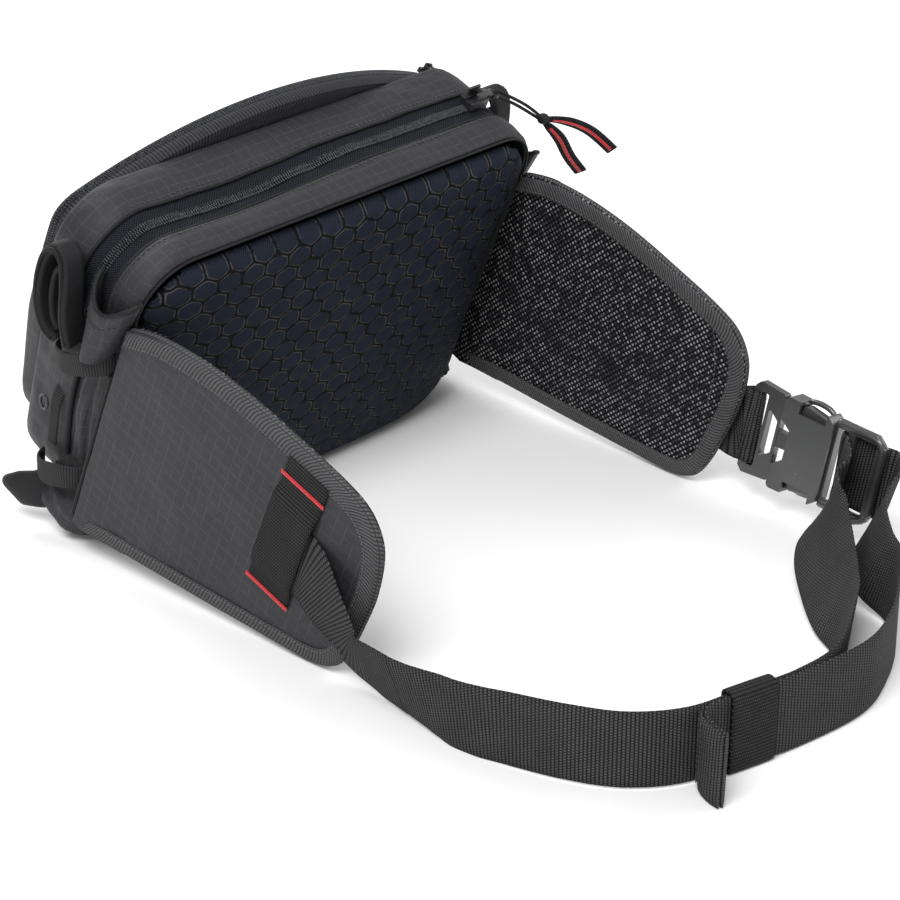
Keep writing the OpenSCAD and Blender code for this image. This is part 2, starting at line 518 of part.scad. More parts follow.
housing_l0 = male_len + 2;
module buckle_female() color(plastic_c) in_buckle() difference() {
    union() {
        translate([0, -housing_l0, 0]) round_slab([[0, -buckle_w / 2], [-housing_len + 4, -buckle_w / 2 + 1], [-housing_len, -buckle_w / 2 + 4], [-housing_len, buckle_w / 2 - 4], [-housing_len + 4, buckle_w / 2 - 1], [0, buckle_w / 2]], -buckle_t / 2, buckle_t / 2, 2.5);
        translate([0, -housing_l0 - housing_len, 0]) slab([[0.5, -buckle_w / 2 + 2], [-adjuster_len + 6, -buckle_w / 2 + 1], [-adjuster_len, -buckle_w / 2 + 6], [-adjuster_len, buckle_w / 2 - 6], [-adjuster_len + 6, buckle_w / 2 - 1], [0.5, buckle_w / 2 - 2]], -2.1, 2.1);
    }
    // the socket the arms go into
    translate([-3.4, -housing_l0 - housing_len + 3, -buckle_w / 2 + 2.4]) cube([6.8, housing_len + past, buckle_w - 4.8]);
    // the side windows
    for (s = [-1, 1]) translate([-far / 2, -housing_l0 - housing_len + 4.5, s * (buckle_w / 2 - 1) - 5.6]) cube([far, 16.5, 11.2]);
    // the cut in the mouth's faces
    slab([[-housing_l0 + past, -13], [-housing_l0 - 6, -8], [-housing_l0 - 6, 8], [-housing_l0 + past, 13]], -far / 2, far / 2);
    // the slots either side of the adjuster's bar
    translate([-10, -housing_l0 - housing_len - 7.5, -web_w / 2 - 0.8]) cube([20, 6.3, web_w + 1.6]);
    translate([-10, -housing_l0 - housing_len - adjuster_len + 4.2, -web_w / 2 - 0.8]) cube([20, adjuster_len - 4.2 - 11.6, web_w + 1.6]);
}

module end_fold_left() end_fold(-1);
module end_fold_right() end_fold(1);

main_shell();
main_trim_rear();
main_trim_front();
main_tape_rear();
main_tape_front();
main_coil();
main_slider();
main_puller();
main_pull_cord();
main_pull_tails();
main_pull_stitching();
front_pocket();
front_tape_rear();
front_tape_front();
front_coil();
front_slider();
front_puller();
back_mesh();
back_foam();
base_panel();
end_fold_left();
end_fold_right();
end_loop(-1);  // end_loop_left
end_loop(1);  // end_loop_right
upper_band(-1);  // upper_band_left
upper_band(1);  // upper_band_right
lower_band(-1);  // lower_band_left
lower_band(1);  // lower_band_right
gusset(-1);  // gusset_left
gusset(1);  // gusset_right
gusset_piping(-1);  // gusset_piping_left
gusset_piping(1);  // gusset_piping_right
corner_fold(-1);  // corner_fold_left
corner_fold(1);  // corner_fold_right
side_strap(-1);  // side_strap_left
side_strap(1);  // side_strap_right
side_ring(-1);  // side_ring_left
side_ring(1);  // side_ring_right
wing_shell(-1);  // wing_shell_left
wing_shell(1);  // wing_shell_right
wing_foam(-1);  // wing_foam_left
wing_foam(1);  // wing_foam_right
wing_mesh(-1);  // wing_mesh_left
wing_mesh(1);  // wing_mesh_right
wing_binding(-1);  // wing_binding_left
wing_binding(1);  // wing_binding_right
wing_strip(-1);  // wing_strip_left
wing_strip(1);  // wing_strip_right
bartacks(-1);  // bartacks_left
bartacks(1);  // bartacks_right
belt_stub();
belt_lead();
belt_webbing();
belt_keeper();
buckle_web_stub();
buckle_web_loop();
buckle_male();
latch_arm(1);  // latch_arm_upper
latch_arm(-1);  // latch_arm_lower
buckle_female();
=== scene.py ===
"""Waist pack: the visual model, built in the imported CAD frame. Helper lengths are in millimetres."""
import math

import bmesh
import bpy
import numpy as np
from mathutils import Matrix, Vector, noise


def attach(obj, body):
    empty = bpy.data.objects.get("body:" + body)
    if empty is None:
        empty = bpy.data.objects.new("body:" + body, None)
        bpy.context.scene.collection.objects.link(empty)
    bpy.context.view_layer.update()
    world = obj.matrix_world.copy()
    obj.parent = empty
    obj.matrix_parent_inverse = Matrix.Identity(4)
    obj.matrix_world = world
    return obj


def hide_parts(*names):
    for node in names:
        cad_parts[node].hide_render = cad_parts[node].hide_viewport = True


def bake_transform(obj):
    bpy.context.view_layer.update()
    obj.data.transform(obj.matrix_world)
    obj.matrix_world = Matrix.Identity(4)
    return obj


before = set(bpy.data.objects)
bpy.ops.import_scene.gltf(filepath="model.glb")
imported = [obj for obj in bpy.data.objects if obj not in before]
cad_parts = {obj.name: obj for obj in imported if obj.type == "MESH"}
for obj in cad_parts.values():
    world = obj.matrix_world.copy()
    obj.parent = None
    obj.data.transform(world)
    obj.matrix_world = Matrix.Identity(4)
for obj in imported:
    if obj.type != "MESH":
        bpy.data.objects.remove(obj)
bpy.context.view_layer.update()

MM = 0.001
FLOOR_GAP = 0.5
LEAN = math.radians(22.85)
COS, SIN = math.cos(LEAN), math.sin(LEAN)
SEAM_RISE = 16.0
ROOT_AXIS = np.array([0.0, -SIN, COS])
WING_X, WING_TOE = 136.0, math.radians(-2)
BUCKLE_AT = np.array([136, -205.5, 41.5])
BUCKLE_DROP, BUCKLE_TILT = math.radians(5), math.radians(10)
SIXTHS = np.arange(6) * math.pi / 3
LARGEST_CAP = 24


# ---------------------------------------------------------------- frames

def metres(p):
    return p * MM


def bag(p):
    """Points in the bag's own frame (x, depth, height) to world metres."""
    p = np.asarray(p, float)
    x, d, s = p[..., 0], p[..., 1], p[..., 2]
    return np.stack([x, d * COS - s * SIN, SEAM_RISE + d * SIN + s * COS], -1) * MM


def on_wing(side, p):
    """Points of a wing (out from its middle plane, y, z) to world metres, with the wing's toe-in."""
    v = np.asarray(p, float) - [0, 0, SEAM_RISE]
    c, s = math.cos(WING_TOE), math.sin(WING_TOE)
    v = v * c + np.cross(ROOT_AXIS, v) * s + ROOT_AXIS * (v @ ROOT_AXIS)[..., None] * (1 - c)
    v = v + [WING_X, 0, SEAM_RISE]
    return v * [side * MM, MM, MM]


def in_buckle(x, l, w=0.0):
    """A point of the buckle (thickness, length, width) in world millimetres."""
    tx = x * math.cos(BUCKLE_TILT) + w * math.sin(BUCKLE_TILT)
    tz = -x * math.sin(BUCKLE_TILT) + w * math.cos(BUCKLE_TILT)
    y = -l * math.cos(BUCKLE_DROP) - tz * math.sin(BUCKLE_DROP)
    z = -l * math.sin(BUCKLE_DROP) + tz * math.cos(BUCKLE_DROP)
    return BUCKLE_AT + [tx, y, z]


def turn_x(p, a):
    """Points turned about the x axis."""
    c, s = math.cos(a), math.sin(a)
    return np.stack([p[..., 0], p[..., 1] * c - p[..., 2] * s, p[..., 1] * s + p[..., 2] * c], -1)


def lifted(points, gap):
    """World points, none of them lower than gap millimetres above the floor."""
    points[:, 2] = np.maximum(points[:, 2], gap * MM)
    return points


# ---------------------------------------------------------------- curves and meshes

def unit(v):
    v = np.asarray(v, float)
    return v / np.maximum(np.linalg.norm(v, axis=-1, keepdims=True), 1e-12)


def run_length(p):
    """The distance along a line of points, at each of them."""
    return np.concatenate([[0], np.cumsum(np.linalg.norm(np.diff(p, axis=0), axis=1))])


def spline(points, step=1.5, closed=False):
    """A Catmull-Rom curve through the points, resampled about every step; extra columns are carried along."""
    p = np.asarray(points, float)
    n = len(p)
    out = []
    for i in range(n if closed else n - 1):
        a, b, c, d = ((p[(i + k) % n] for k in (-1, 0, 1, 2)) if closed
                      else (p[min(max(i + k, 0), n - 1)] for k in (-1, 0, 1, 2)))
        t = np.linspace(0, 1, 16, endpoint=False)[:, None]
        bend, cube = 2 * a - 5 * b + 4 * c - d, 3 * b - a - 3 * c + d
        out.append(0.5 * (2 * b + (c - a) * t + bend * t ** 2 + cube * t ** 3))
    q = np.concatenate(out + [p[:1] if closed else p[-1:]])
    length = run_length(q[:, :3])
    count = max(3, int(round(length[-1] / step)) + 1)
    at = np.linspace(0, length[-1], count)
    q = np.stack([np.interp(at, length, q[:, k]) for k in range(q.shape[1])], 1)
    return q[:-1] if closed else q


def tangents(p, closed=False):
    if closed:
        return unit(np.roll(p, -1, 0) - np.roll(p, 1, 0))
    return unit(np.gradient(p, axis=0))


def arc(cx, cz, r, a0, a1, n):
    a = np.radians(np.linspace(a0, a1, n))
    return np.stack([cx + r * np.cos(a), cz + r * np.sin(a)], 1)


def even_rim(loop, step, rounds=0):
    """A closed outline's points evenly spaced and smoothed, its outward normals and the distance along it."""
    length = run_length(loop)
    at = np.linspace(0, length[-1], int(length[-1] / step), endpoint=False)
    rim = np.stack([np.interp(at, length, loop[:, k]) for k in range(2)], 1)
    for _ in range(rounds):
        rim = (np.roll(rim, 1, 0) + 2 * rim + np.roll(rim, -1, 0)) / 4
    tan = tangents(rim, closed=True)
    return rim, np.stack([tan[:, 1], -tan[:, 0]], 1), at


def full_turn(n):
    """n even steps round a circle."""
    return np.linspace(0, 2 * math.pi, n, endpoint=False)


def grid_faces(n, m, wrap_n=False, wrap_m=False, keep=None):
    """Quads of an n by m grid of points, stored row by row."""
    return [(i * m + j, i * m + (j + 1) % m, (i + 1) % n * m + (j + 1) % m, (i + 1) % n * m + j)
            for i in range(n if wrap_n else n - 1) for j in range(m if wrap_m else m - 1)
            if keep is None or keep(i, j)]


def tube_faces(n, m):
    """The faces of n rings of m points, capped at both ends."""
    caps = [tuple(range(m)), tuple((n - 1) * m + k for k in reversed(range(m)))]
    return grid_faces(n, m, wrap_m=True) + caps


def cup_faces(n, m):
    """The faces of n rings of m points, capped at the last one only."""
    return grid_faces(n, m, wrap_m=True) + [tuple((n - 1) * m + k for k in range(m))]


def grid_uv(along, across):
    """One pair of texture lengths for each point of a grid."""
    return np.stack(np.broadcast_arrays(along[:, None], across[None, :]), -1)


def capsule(centre, axis, wide, high, ends, radii):
    """A small capsule's four rings of six points: its ends and shoulders along the axis, and their radii."""
    (end, shoulder), (tip, full) = ends, radii
    rings = ((-end, tip), (-shoulder, full), (shoulder, full), (end, tip))
    return [centre + axis * a + r * (math.cos(q) * wide + math.sin(q) * high)
            for a, r in rings for q in SIXTHS]


def capsule_faces(base):
    return [tuple(base + v for v in f) for f in tube_faces(4, 6)]


def piece(name, verts, faces, material, body=None, replaces=(), uv=None):
    """A mesh piece in world metres; uv is one pair of millimetres per vertex."""
    mesh = bpy.data.meshes.new(name)
    mesh.from_pydata(np.asarray(verts, float).reshape(-1, 3).tolist(), [], faces)
    if uv is not None:
        uv = np.asarray(uv, float).reshape(-1, 2) * MM
        layer = mesh.uv_layers.new(name="UVMap")
        index = np.empty(len(mesh.loops), int)
        mesh.loops.foreach_get("vertex_index", index)
        layer.data.foreach_set("uv", uv[index].ravel())
    mesh.update()
    tool = bmesh.new()
    tool.from_mesh(mesh)
    caps = [f for f in tool.faces if len(f.verts) > LARGEST_CAP]
    bmesh.ops.triangulate(tool, faces=caps, ngon_method="BEAUTY")
    bmesh.ops.recalc_face_normals(tool, faces=tool.faces)
    tool.to_mesh(mesh)
    tool.free()
    shade_smooth(mesh)
    obj = bpy.data.objects.new(name, mesh)
    bpy.context.scene.collection.objects.link(obj)
    mesh.materials.append(material)
    if body:
        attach(obj, body)
    if replaces:
        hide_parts(*replaces)
    return obj


def shade_smooth(mesh):
    mesh.polygons.foreach_set("use_smooth", [True] * len(mesh.polygons))


def apply_modifiers(obj):
    deps = bpy.context.evaluated_depsgraph_get()
    shape = obj.evaluated_get(deps)
    mesh = bpy.data.meshes.new_from_object(shape, preserve_all_data_layers=True, depsgraph=deps)
    obj.modifiers.clear()
    obj.data = mesh


def subdivide(obj):
    mod = obj.modifiers.new("Subdivision", "SUBSURF")
    mod.levels = mod.render_levels = 1
    apply_modifiers(obj)


def cloth(name, verts, faces, material, thick, offset=-1.0, body="bag", replaces=(), uv=None):
    """An open sheet in world metres, made a solid of some thickness."""
    obj = piece(name, verts, faces, material, body, replaces, uv)
    mod = obj.modifiers.new("Thickness", "SOLIDIFY")
    mod.thickness, mod.offset, mod.use_even_offset = thick * MM, offset, False
    apply_modifiers(obj)
    return obj


def strap(name, path, up, width, thick, material, body=None, replaces=(), to_world=metres,
          taper=1.0, rows=11):
    """A flat closed strap along a path in the frame that to_world takes; up is the way of its width."""
    path = np.asarray(path, float)[:, :3]
    tan = tangents(path)
    up = np.broadcast_to(np.asarray(up, float), (len(path), 3))
    across = unit(up - (up * tan).sum(-1, keepdims=True) * tan)
    out = np.cross(tan, across)
    w = np.linspace(-0.5, 0.5, rows)
    edge = 0.5 * np.sqrt(np.clip(1 - (np.abs(2 * w) ** 14), 0.12, 1))
    loop_w = np.concatenate([w, w[::-1]])
    loop_t = np.concatenate([edge, -edge[::-1]])
    grow = np.broadcast_to(taper, len(path))[:, None, None]
    verts = (path[:, None] + across[:, None] * (loop_w[None, :, None] * width * grow)
             + out[:, None] * (loop_t[None, :, None] * thick)).reshape(-1, 3)
    verts = lifted(to_world(verts), FLOOR_GAP)
    uv = grid_uv(run_length(path), loop_w * width)
    return piece(name, verts, tube_faces(len(path), 2 * rows), material, body, replaces, uv)


def tube(name, path, radius, material, body, replaces=(), to_world=bag, sides=10, closed=False):
    """A round cord or piping along a path in the frame that to_world takes."""
    path = np.asarray(path, float)[:, :3]
    tan = tangents(path, closed)
    a = unit(np.cross(tan, [0.31, 0.95, 0.05]))
    b = np.cross(tan, a)
    angle = full_turn(sides)
    circle = np.cos(angle)[None, :, None] * a[:, None] + np.sin(angle)[None, :, None] * b[:, None]
    verts = (path[:, None] + radius * circle).reshape(-1, 3)
    n = len(path)
    faces = grid_faces(n, sides, wrap_n=True, wrap_m=True) if closed else tube_faces(n, sides)
    uv = grid_uv(run_length(path), angle * radius)
    return piece(name, to_world(verts), faces, material, body, replaces, uv)


def stitches(name, line, material, body, pitch=3.2, length=2.3, radius=0.3, to_world=bag):
    """Single stitches laid along a line, each a small pinched capsule."""
    line = np.asarray(line, float)[:, :3]
    along = run_length(line)
    verts, faces = [], []
    for start in np.arange(pitch / 2, along[-1] - pitch / 2, pitch):
        a, b = (np.array([np.interp(start + half, along, line[:, c]) for c in range(3)])
                for half in (-length / 2, length / 2))
        way = unit(b - a)
        wide = unit(np.cross(way, [0.31, 0.95, 0.05]))
        high = np.cross(way, wide)
        faces += capsule_faces(len(verts))
        verts += capsule((a + b) / 2, way * length, wide * radius, high * radius, (0.5, 0.3), (0.25, 0.95))
    return piece(name, to_world(np.array(verts)), faces, material, body)


def ripple(p, size, seed=0.0):
    """Smooth noise between about -1 and 1 at a point in millimetres."""
    return noise.noise(Vector((p[0] / size + seed, p[1] / size - seed, p[2] / size + 2 * seed)))


def bump01(t):
    """A smooth step from 0 to 1."""
    t = np.clip(t, 0, 1)
    return t * t * (3 - 2 * t)


# ---------------------------------------------------------------- materials

class Shade:
    """A Principled material built node by node."""

    def __init__(self, name, **fixed):
        self.mat = bpy.data.materials.new(name)
        self.mat.use_nodes = True
        self.tree = self.mat.node_tree
        self.bsdf = self.tree.nodes["Principled BSDF"]
        for key, value in fixed.items():
            self.bsdf.inputs[key.replace("_", " ")].default_value = value

    def node(self, kind, inputs=(), **props):
        n = self.tree.nodes.new(kind)
        for key, value in props.items():
            setattr(n, key, value)
        for key, value in dict(inputs).items():
            self.plug(value, n.inputs[key])
        return n

    def plug(self, value, socket):
        if isinstance(value, bpy.types.NodeSocket):
            self.tree.links.new(value, socket)
        else:
            socket.default_value = value

    def math(self, op, a, b=0.0):
        return self.node("ShaderNodeMath", {0: a, 1: b}, operation=op).outputs[0]

    def plus(self, a, b):
        return self.math("ADD", a, b)

    def minus(self, a, b):
        return self.math("SUBTRACT", a, b)

    def times(self, a, b):
        return self.math("MULTIPLY", a, b)

    def vmath(self, op, a, b=(0, 0, 0)):
        n = self.node("ShaderNodeVectorMath", {0: a, 1: b}, operation=op)
        return n.outputs["Value"] if op in ("DOT_PRODUCT", "LENGTH") else n.outputs[0]

    def xyz(self, v):
        return self.node("ShaderNodeSeparateXYZ", {0: v}).outputs

    def uv(self):
        return self.node("ShaderNodeUVMap", uv_map="UVMap").outputs[0]

    def place(self):
        """Object coordinates."""
        return self.node("ShaderNodeTexCoord").outputs["Object"]

    def geometry(self, what):
        return self.node("ShaderNodeNewGeometry").outputs[what]

    def in_bag(self, v):
        """A vector turned into the bag's own frame."""
        inputs = {"Vector": v, "Angle": -LEAN}
        return self.node("ShaderNodeVectorRotate", inputs, rotation_type="X_AXIS").outputs[0]

    def noise(self, at, scale, detail=3.0, rough=0.55):
        inputs = {"Vector": at, "Scale": scale, "Detail": detail, "Roughness": rough}
        return self.node("ShaderNodeTexNoise", inputs).outputs[0]

    def wave(self, a, pitch, power=1.0):
        """A rounded rib every pitch metres, 0 to 1."""
        r = self.math("ABSOLUTE", self.math("SINE", self.times(a, math.pi / pitch)))
        return self.math("POWER", r, power) if power != 1 else r

    def line(self, a, pitch, width):
        """1 on a thin line every pitch metres, 0 elsewhere."""
        near = self.math("PINGPONG", a, pitch / 2)
        return self.minus(1.0, self.step(near, width * 0.3, width * 0.6))

    def step(self, a, lo, hi):
        """0 at lo and 1 at hi, smooth in between."""
        inputs = {"Value": a, "From Min": lo, "From Max": hi}
        return self.node("ShaderNodeMapRange", inputs, interpolation_type="SMOOTHSTEP").outputs[0]

    def mix(self, t, a, b):
        n = self.node("ShaderNodeMix", data_type="RGBA")
        self.plug(t, n.inputs[0])
        for value, socket in ((a, n.inputs[6]), (b, n.inputs[7])):
            self.plug(value if isinstance(value, bpy.types.NodeSocket) else (*value, 1), socket)
        return n.outputs[2]

    def mottled(self, color, cloud, low, span):
        """A colour times low to low + span, by a cloud."""
        t = self.plus(low, self.times(cloud, span))
        return self.vmath("MULTIPLY", color, self.node("ShaderNodeCombineXYZ", {0: t, 1: t, 2: t}).outputs[0])

    def bump(self, height, distance, strength=1.0, normal=None):
        n = self.node("ShaderNodeBump", {"Height": height, "Distance": distance, "Strength": strength})
        if normal is not None:
            self.plug(normal, n.inputs["Normal"])
        return n.outputs[0]

    def finish(self, color, roughness, normal=None):
        self.plug(color, self.bsdf.inputs["Base Color"])
        self.plug(roughness, self.bsdf.inputs["Roughness"])
        if normal is not None:
            self.plug(normal, self.bsdf.inputs["Normal"])
        return self.mat


def ripstop():
    """Thin cloth with a faint grid of thicker threads."""
    s = Shade("ripstop_cloth", Sheen_Weight=0.02, Sheen_Roughness=0.4, Specular_IOR_Level=0.26)
    at = s.in_bag(s.place())
    x, d, z = s.xyz(at)
    facing = s.xyz(s.vmath("ABSOLUTE", s.in_bag(s.geometry("Normal"))))
    grid_pitch, grid_width, thread_pitch = 0.0062, 0.00075, 0.00055
    grid = None
    for axis, face in ((x, 0), (d, 1), (z, 2)):
        flat = s.step(facing[face], 0.75, 0.55)
        lines = s.times(s.line(axis, grid_pitch, grid_width), flat)
        grid = lines if grid is None else s.math("MAXIMUM", grid, lines)
    cloud = s.noise(at, 22, 4)
    threads = s.noise(s.vmath("MULTIPLY", at, (1.0, 1.0, 0.16)), 900, 1)
    weave = s.times(s.wave(s.plus(x, d), thread_pitch), s.wave(s.minus(z, d), thread_pitch))
    broken = s.times(grid, s.step(threads, 0.3, 0.6))
    color = s.mix(cloud, (0.019, 0.0193, 0.022), (0.033, 0.0335, 0.037))
    color = s.mix(s.times(broken, 0.36), color, (0.075, 0.077, 0.083))
    color = s.mix(s.times(weave, 0.16), color, (0.02, 0.02, 0.023))
    normal = s.bump(s.noise(at, 55, 5), 0.0018, 0.6)
    normal = s.bump(grid, 0.00012, 0.5, normal)
    normal = s.bump(weave, 0.00008, 0.5, normal)
    rough = s.plus(0.44, s.times(s.noise(at, 90, 3), 0.2))
    return s.finish(color, rough, normal)


def zip_tape():
    """Dark twill."""
    s = Shade("zip_tape_weave", Specular_IOR_Level=0.12)
    u, v, _ = s.xyz(s.uv())
    twill = s.wave(s.plus(u, v), 0.0016)
    cross = s.wave(s.minus(u, v), 0.0016)
    weave = s.times(twill, cross)
    cloud = s.noise(s.uv(), 120, 3)
    # darker where the weave is low: painted shade in its grooves
    color = s.mix(weave, (0.001, 0.0012, 0.002), (0.040, 0.045, 0.058))
    color = s.mix(s.times(cloud, 0.35), color, (0.013, 0.016, 0.023))
    return s.finish(color, 0.72, s.bump(weave, 0.0006, 0.9))


def woven(name, low, high, rib, pick, depth=0.0005, gloss=0.66):
    """Heavy webbing: ribs across the strap, rib metres apart, each with picks."""
    s = Shade(name, Specular_IOR_Level=0.12)
    u, v, _ = s.xyz(s.uv())
    row = s.math("FLOOR", s.math("DIVIDE", u, rib))
    shift = s.times(s.math("MODULO", row, 2.0), pick / 2)
    ribs = s.wave(u, rib, 0.6)
    picks = s.wave(s.plus(v, shift), pick, 0.8)
    height = s.times(ribs, s.plus(0.35, s.times(picks, 0.65)))
    cloud = s.noise(s.uv(), 60, 4)
    # the colour runs from low in the grooves to high on the ribs' tops: painted shade in the grooves between
    # ribs
    color = s.mottled(s.mix(s.math("POWER", height, 1.6), low, high), cloud, 0.7, 0.6)
    rough = s.plus(gloss, s.times(s.noise(s.uv(), 400, 2), 0.15))
    return s.finish(color, rough, s.bump(height, depth, 0.9))


def grosgrain(name, low, high, rib=0.00125, slant=0.5):
    """Ribbed tape, with ribs that run slightly aslant across it."""
    s = Shade(name, Specular_IOR_Level=0.13)
    u, v, _ = s.xyz(s.uv())
    ribs = s.wave(s.plus(u, s.times(v, slant)), rib, 0.7)
    fine = s.wave(v, 0.0009, 0.7)
    height = s.times(ribs, s.plus(0.6, s.times(fine, 0.4)))
    cloud = s.noise(s.uv(), 80, 4)
    # the colour runs from low in the grooves to high on the ribs: painted shade in the grooves
    color = s.mottled(s.mix(height, low, high), cloud, 0.78, 0.44)
    return s.finish(color, 0.66, s.bump(height, 0.0004, 0.9))


def honeycomb():
    """Six-sided cells of fine mesh, with worn rims, in two rows set against each other."""
    s = Shade("honeycomb_mesh_weave", Specular_IOR_Level=0.08)
    at = s.in_bag(s.place())
    x, _, z = s.xyz(at)
    pitch, squat, start, flat = 0.0150, 1.42, (0.4006, 0.5, 0), (1, 1, 0)
    p = s.node("ShaderNodeCombineXYZ", {0: x, 1: s.times(z, squat)}).outputs[0]
    p = s.vmath("ADD", p, start)
    r = (pitch, pitch * math.sqrt(3), 1)
    half = (pitch / 2, pitch * math.sqrt(3) / 2, 0.5)
    # the way from the nearest centre of either row of cells
    a = s.vmath("SUBTRACT", s.vmath("MODULO", p, r), half)
    b = s.vmath("SUBTRACT", s.vmath("MODULO", s.vmath("ADD", p, half), r), half)
    far_a, far_b = (s.vmath("LENGTH", s.vmath("MULTIPLY", v, flat)) for v in (a, b))
    pick = s.node("ShaderNodeMix", {0: s.math("LESS_THAN", far_a, far_b), 4: b, 5: a}, data_type="VECTOR")
    g = s.vmath("ABSOLUTE", s.vmath("MULTIPLY", pick.outputs[1], flat))
    slant = s.vmath("DOT_PRODUCT", g, (0.5, math.sqrt(3) / 2, 0))
    hexed = s.math("MAXIMUM", s.xyz(g)[0], slant)
    rounded = s.math("MINIMUM", far_a, far_b)
    away = s.plus(s.times(hexed, 0.72), s.times(rounded, 0.28))
    inside = s.step(away, pitch * 0.455, pitch * 0.40)
    rim = s.times(s.step(away, pitch * 0.395, pitch * 0.43), s.step(away, pitch * 0.475, pitch * 0.445))
    hole_pitch = 0.0013
    holes = s.times(s.wave(s.plus(x, z), hole_pitch, 0.8), s.wave(s.minus(x, z), hole_pitch, 0.8))
    cloud = s.noise(at, 45, 4)
    cell = s.mix(holes, (0.002, 0.0026, 0.005), (0.030, 0.038, 0.060))
    net = s.mix(holes, (0.001, 0.0012, 0.002), (0.010, 0.011, 0.015))
    color = s.mix(inside, net, cell)
    worn_rim = s.times(rim, s.step(s.noise(at, 160, 3), 0.35, 0.6))
    color = s.mottled(s.mix(worn_rim, color, (0.085, 0.078, 0.077)), cloud, 0.7, 0.6)
    normal = s.bump(s.minus(1.0, s.math("DIVIDE", away, pitch)), 0.0022, 0.5)
    normal = s.bump(inside, 0.0009, 0.6, normal)
    normal = s.bump(rim, 0.0004, 0.8, normal)
    normal = s.bump(holes, 0.0003, 0.7, normal)
    return s.finish(color, 0.74, normal)


def air_mesh():
    """Open knit with painted glints on the tops of its loops."""
    s = Shade("air_mesh_knit", Specular_IOR_Level=0.1)
    at = s.in_bag(s.place())
    _, y, z = s.xyz(at)
    pitch, slant = 0.0027, 0.55
    a, b = s.plus(y, s.times(z, slant)), s.minus(z, s.times(y, slant))
    knit = s.times(s.wave(a, pitch, 0.9), s.wave(b, pitch, 0.9))
    cloud = s.noise(at, 35, 3)
    # painted glints: bright, glossier specks on the knit's tops, in patches
    glint = s.times(s.step(knit, 0.5, 0.8), s.step(s.noise(at, 300, 1), 0.40, 0.62))
    color = s.mix(s.step(knit, 0.1, 0.6), (0.0006, 0.0006, 0.0008), (0.024, 0.025, 0.029))
    color = s.mix(s.times(glint, s.step(cloud, 0.25, 0.5)), color, (0.30, 0.30, 0.31))
    rough = s.minus(0.62, s.times(glint, 0.3))
    return s.finish(color, rough, s.bump(knit, 0.0009, 0.9))


def thread(name, color, dark):
    """Twisted sewing thread."""
    s = Shade(name, Sheen_Weight=0.3, Specular_IOR_Level=0.4)
    at = s.place()
    x, y, z = s.xyz(at)
    twist = s.wave(s.plus(s.plus(x, y), z), 0.0008, 0.7)
    # darker in the twist's grooves: painted shade
    return s.finish(s.mix(twist, dark, color), 0.55, s.bump(twist, 0.0002, 0.7))


def satin(name, low, high):
    """Smooth dark lining cloth."""
    s = Shade(name, Sheen_Weight=0.02, Sheen_Roughness=0.35, Specular_IOR_Level=0.2)
    at = s.in_bag(s.place())
    cloud = s.noise(at, 60, 4)
    fine = s.noise(at, 1400, 1)
    color = s.mix(cloud, low, high)
    normal = s.bump(fine, 0.00015, 0.5, s.bump(s.noise(at, 120, 3), 0.0006, 0.4))
    return s.finish(color, 0.6, normal)


def plastic():
    """Moulded plastic, with a painted highlight along its rounded edges, lighter still where worn in patches.
    """
    s = Shade("buckle_moulded", Specular_IOR_Level=0.8, Coat_Weight=0.6, Coat_Roughness=0.2)
    at = s.place()
    grain = s.noise(at, 2600, 2)
    cloud = s.noise(at, 90, 4)
    worn = s.step(s.noise(at, 260, 5, 0.7), 0.58, 0.75)
    edge = s.step(s.geometry("Pointiness"), 0.51, 0.57)
    color = s.mix(cloud, (0.019, 0.0193, 0.0202), (0.031, 0.0315, 0.033))
    # the edges are lightened: a painted highlight along all of them, more in the worn patches, which are real
    # wear
    edge_highlight_and_wear = s.times(edge, s.plus(0.25, s.times(worn, 0.5)))
    color = s.mix(edge_highlight_and_wear, color, (0.10, 0.101, 0.105))
    rough = s.plus(0.26, s.times(cloud, 0.16))
    return s.finish(color, rough, s.bump(grain, 0.00009, 0.5))


def painted_metal():
    s = Shade("slider_paint", Metallic=0.35, Specular_IOR_Level=0.5)
    at = s.place()
    cloud = s.noise(at, 400, 4)
    edge = s.step(s.geometry("Pointiness"), 0.52, 0.6)
    color = s.mix(cloud, (0.014, 0.014, 0.016), (0.024, 0.024, 0.027))
    color = s.mix(s.times(edge, 0.6), color, (0.12, 0.12, 0.125))
    return s.finish(color, s.plus(0.28, s.times(cloud, 0.15)), s.bump(cloud, 0.0001, 0.3))


def coil_nylon():
    s = Shade("coil_nylon", Specular_IOR_Level=0.5)
    at = s.place()
    cloud = s.noise(at, 500, 3)
    color = s.mix(s.step(cloud, 0.4, 0.65), (0.006, 0.007, 0.010), (0.035, 0.040, 0.050))
    return s.finish(color, s.plus(0.3, s.times(cloud, 0.2)), s.bump(cloud, 0.0001, 0.4))


RIPSTOP, TAPE, HONEYCOMB, AIR = ripstop(), zip_tape(), honeycomb(), air_mesh()
# in the woven and ribbed cloths below, the first colour is painted shade in the grooves and the second lies
# on the tops
WEBBING = woven("webbing_weave", (0.0015, 0.0015, 0.0015), (0.080, 0.080, 0.083), 0.0018, 0.0014, 0.0006)
STRIP = woven("strip_weave", (0.002, 0.002, 0.002), (0.042, 0.042, 0.044), 0.0017, 0.0012, 0.0004)
BINDING = grosgrain("binding_grosgrain", (0.003, 0.003, 0.0035), (0.105, 0.105, 0.109), 0.0021, 0.9)
BAND = grosgrain("ribbed_band", (0.003, 0.003, 0.0035), (0.046, 0.046, 0.050), 0.0020, 0.0)
ELASTIC = grosgrain("elastic_weave", (0.005, 0.005, 0.006), (0.040, 0.040, 0.042), 0.0014, 0.0)
LINING = satin("dark_lining", (0.007, 0.007, 0.008), (0.018, 0.018, 0.020))
RED = thread("red_thread", (0.78, 0.022, 0.03), (0.42, 0.008, 0.012))
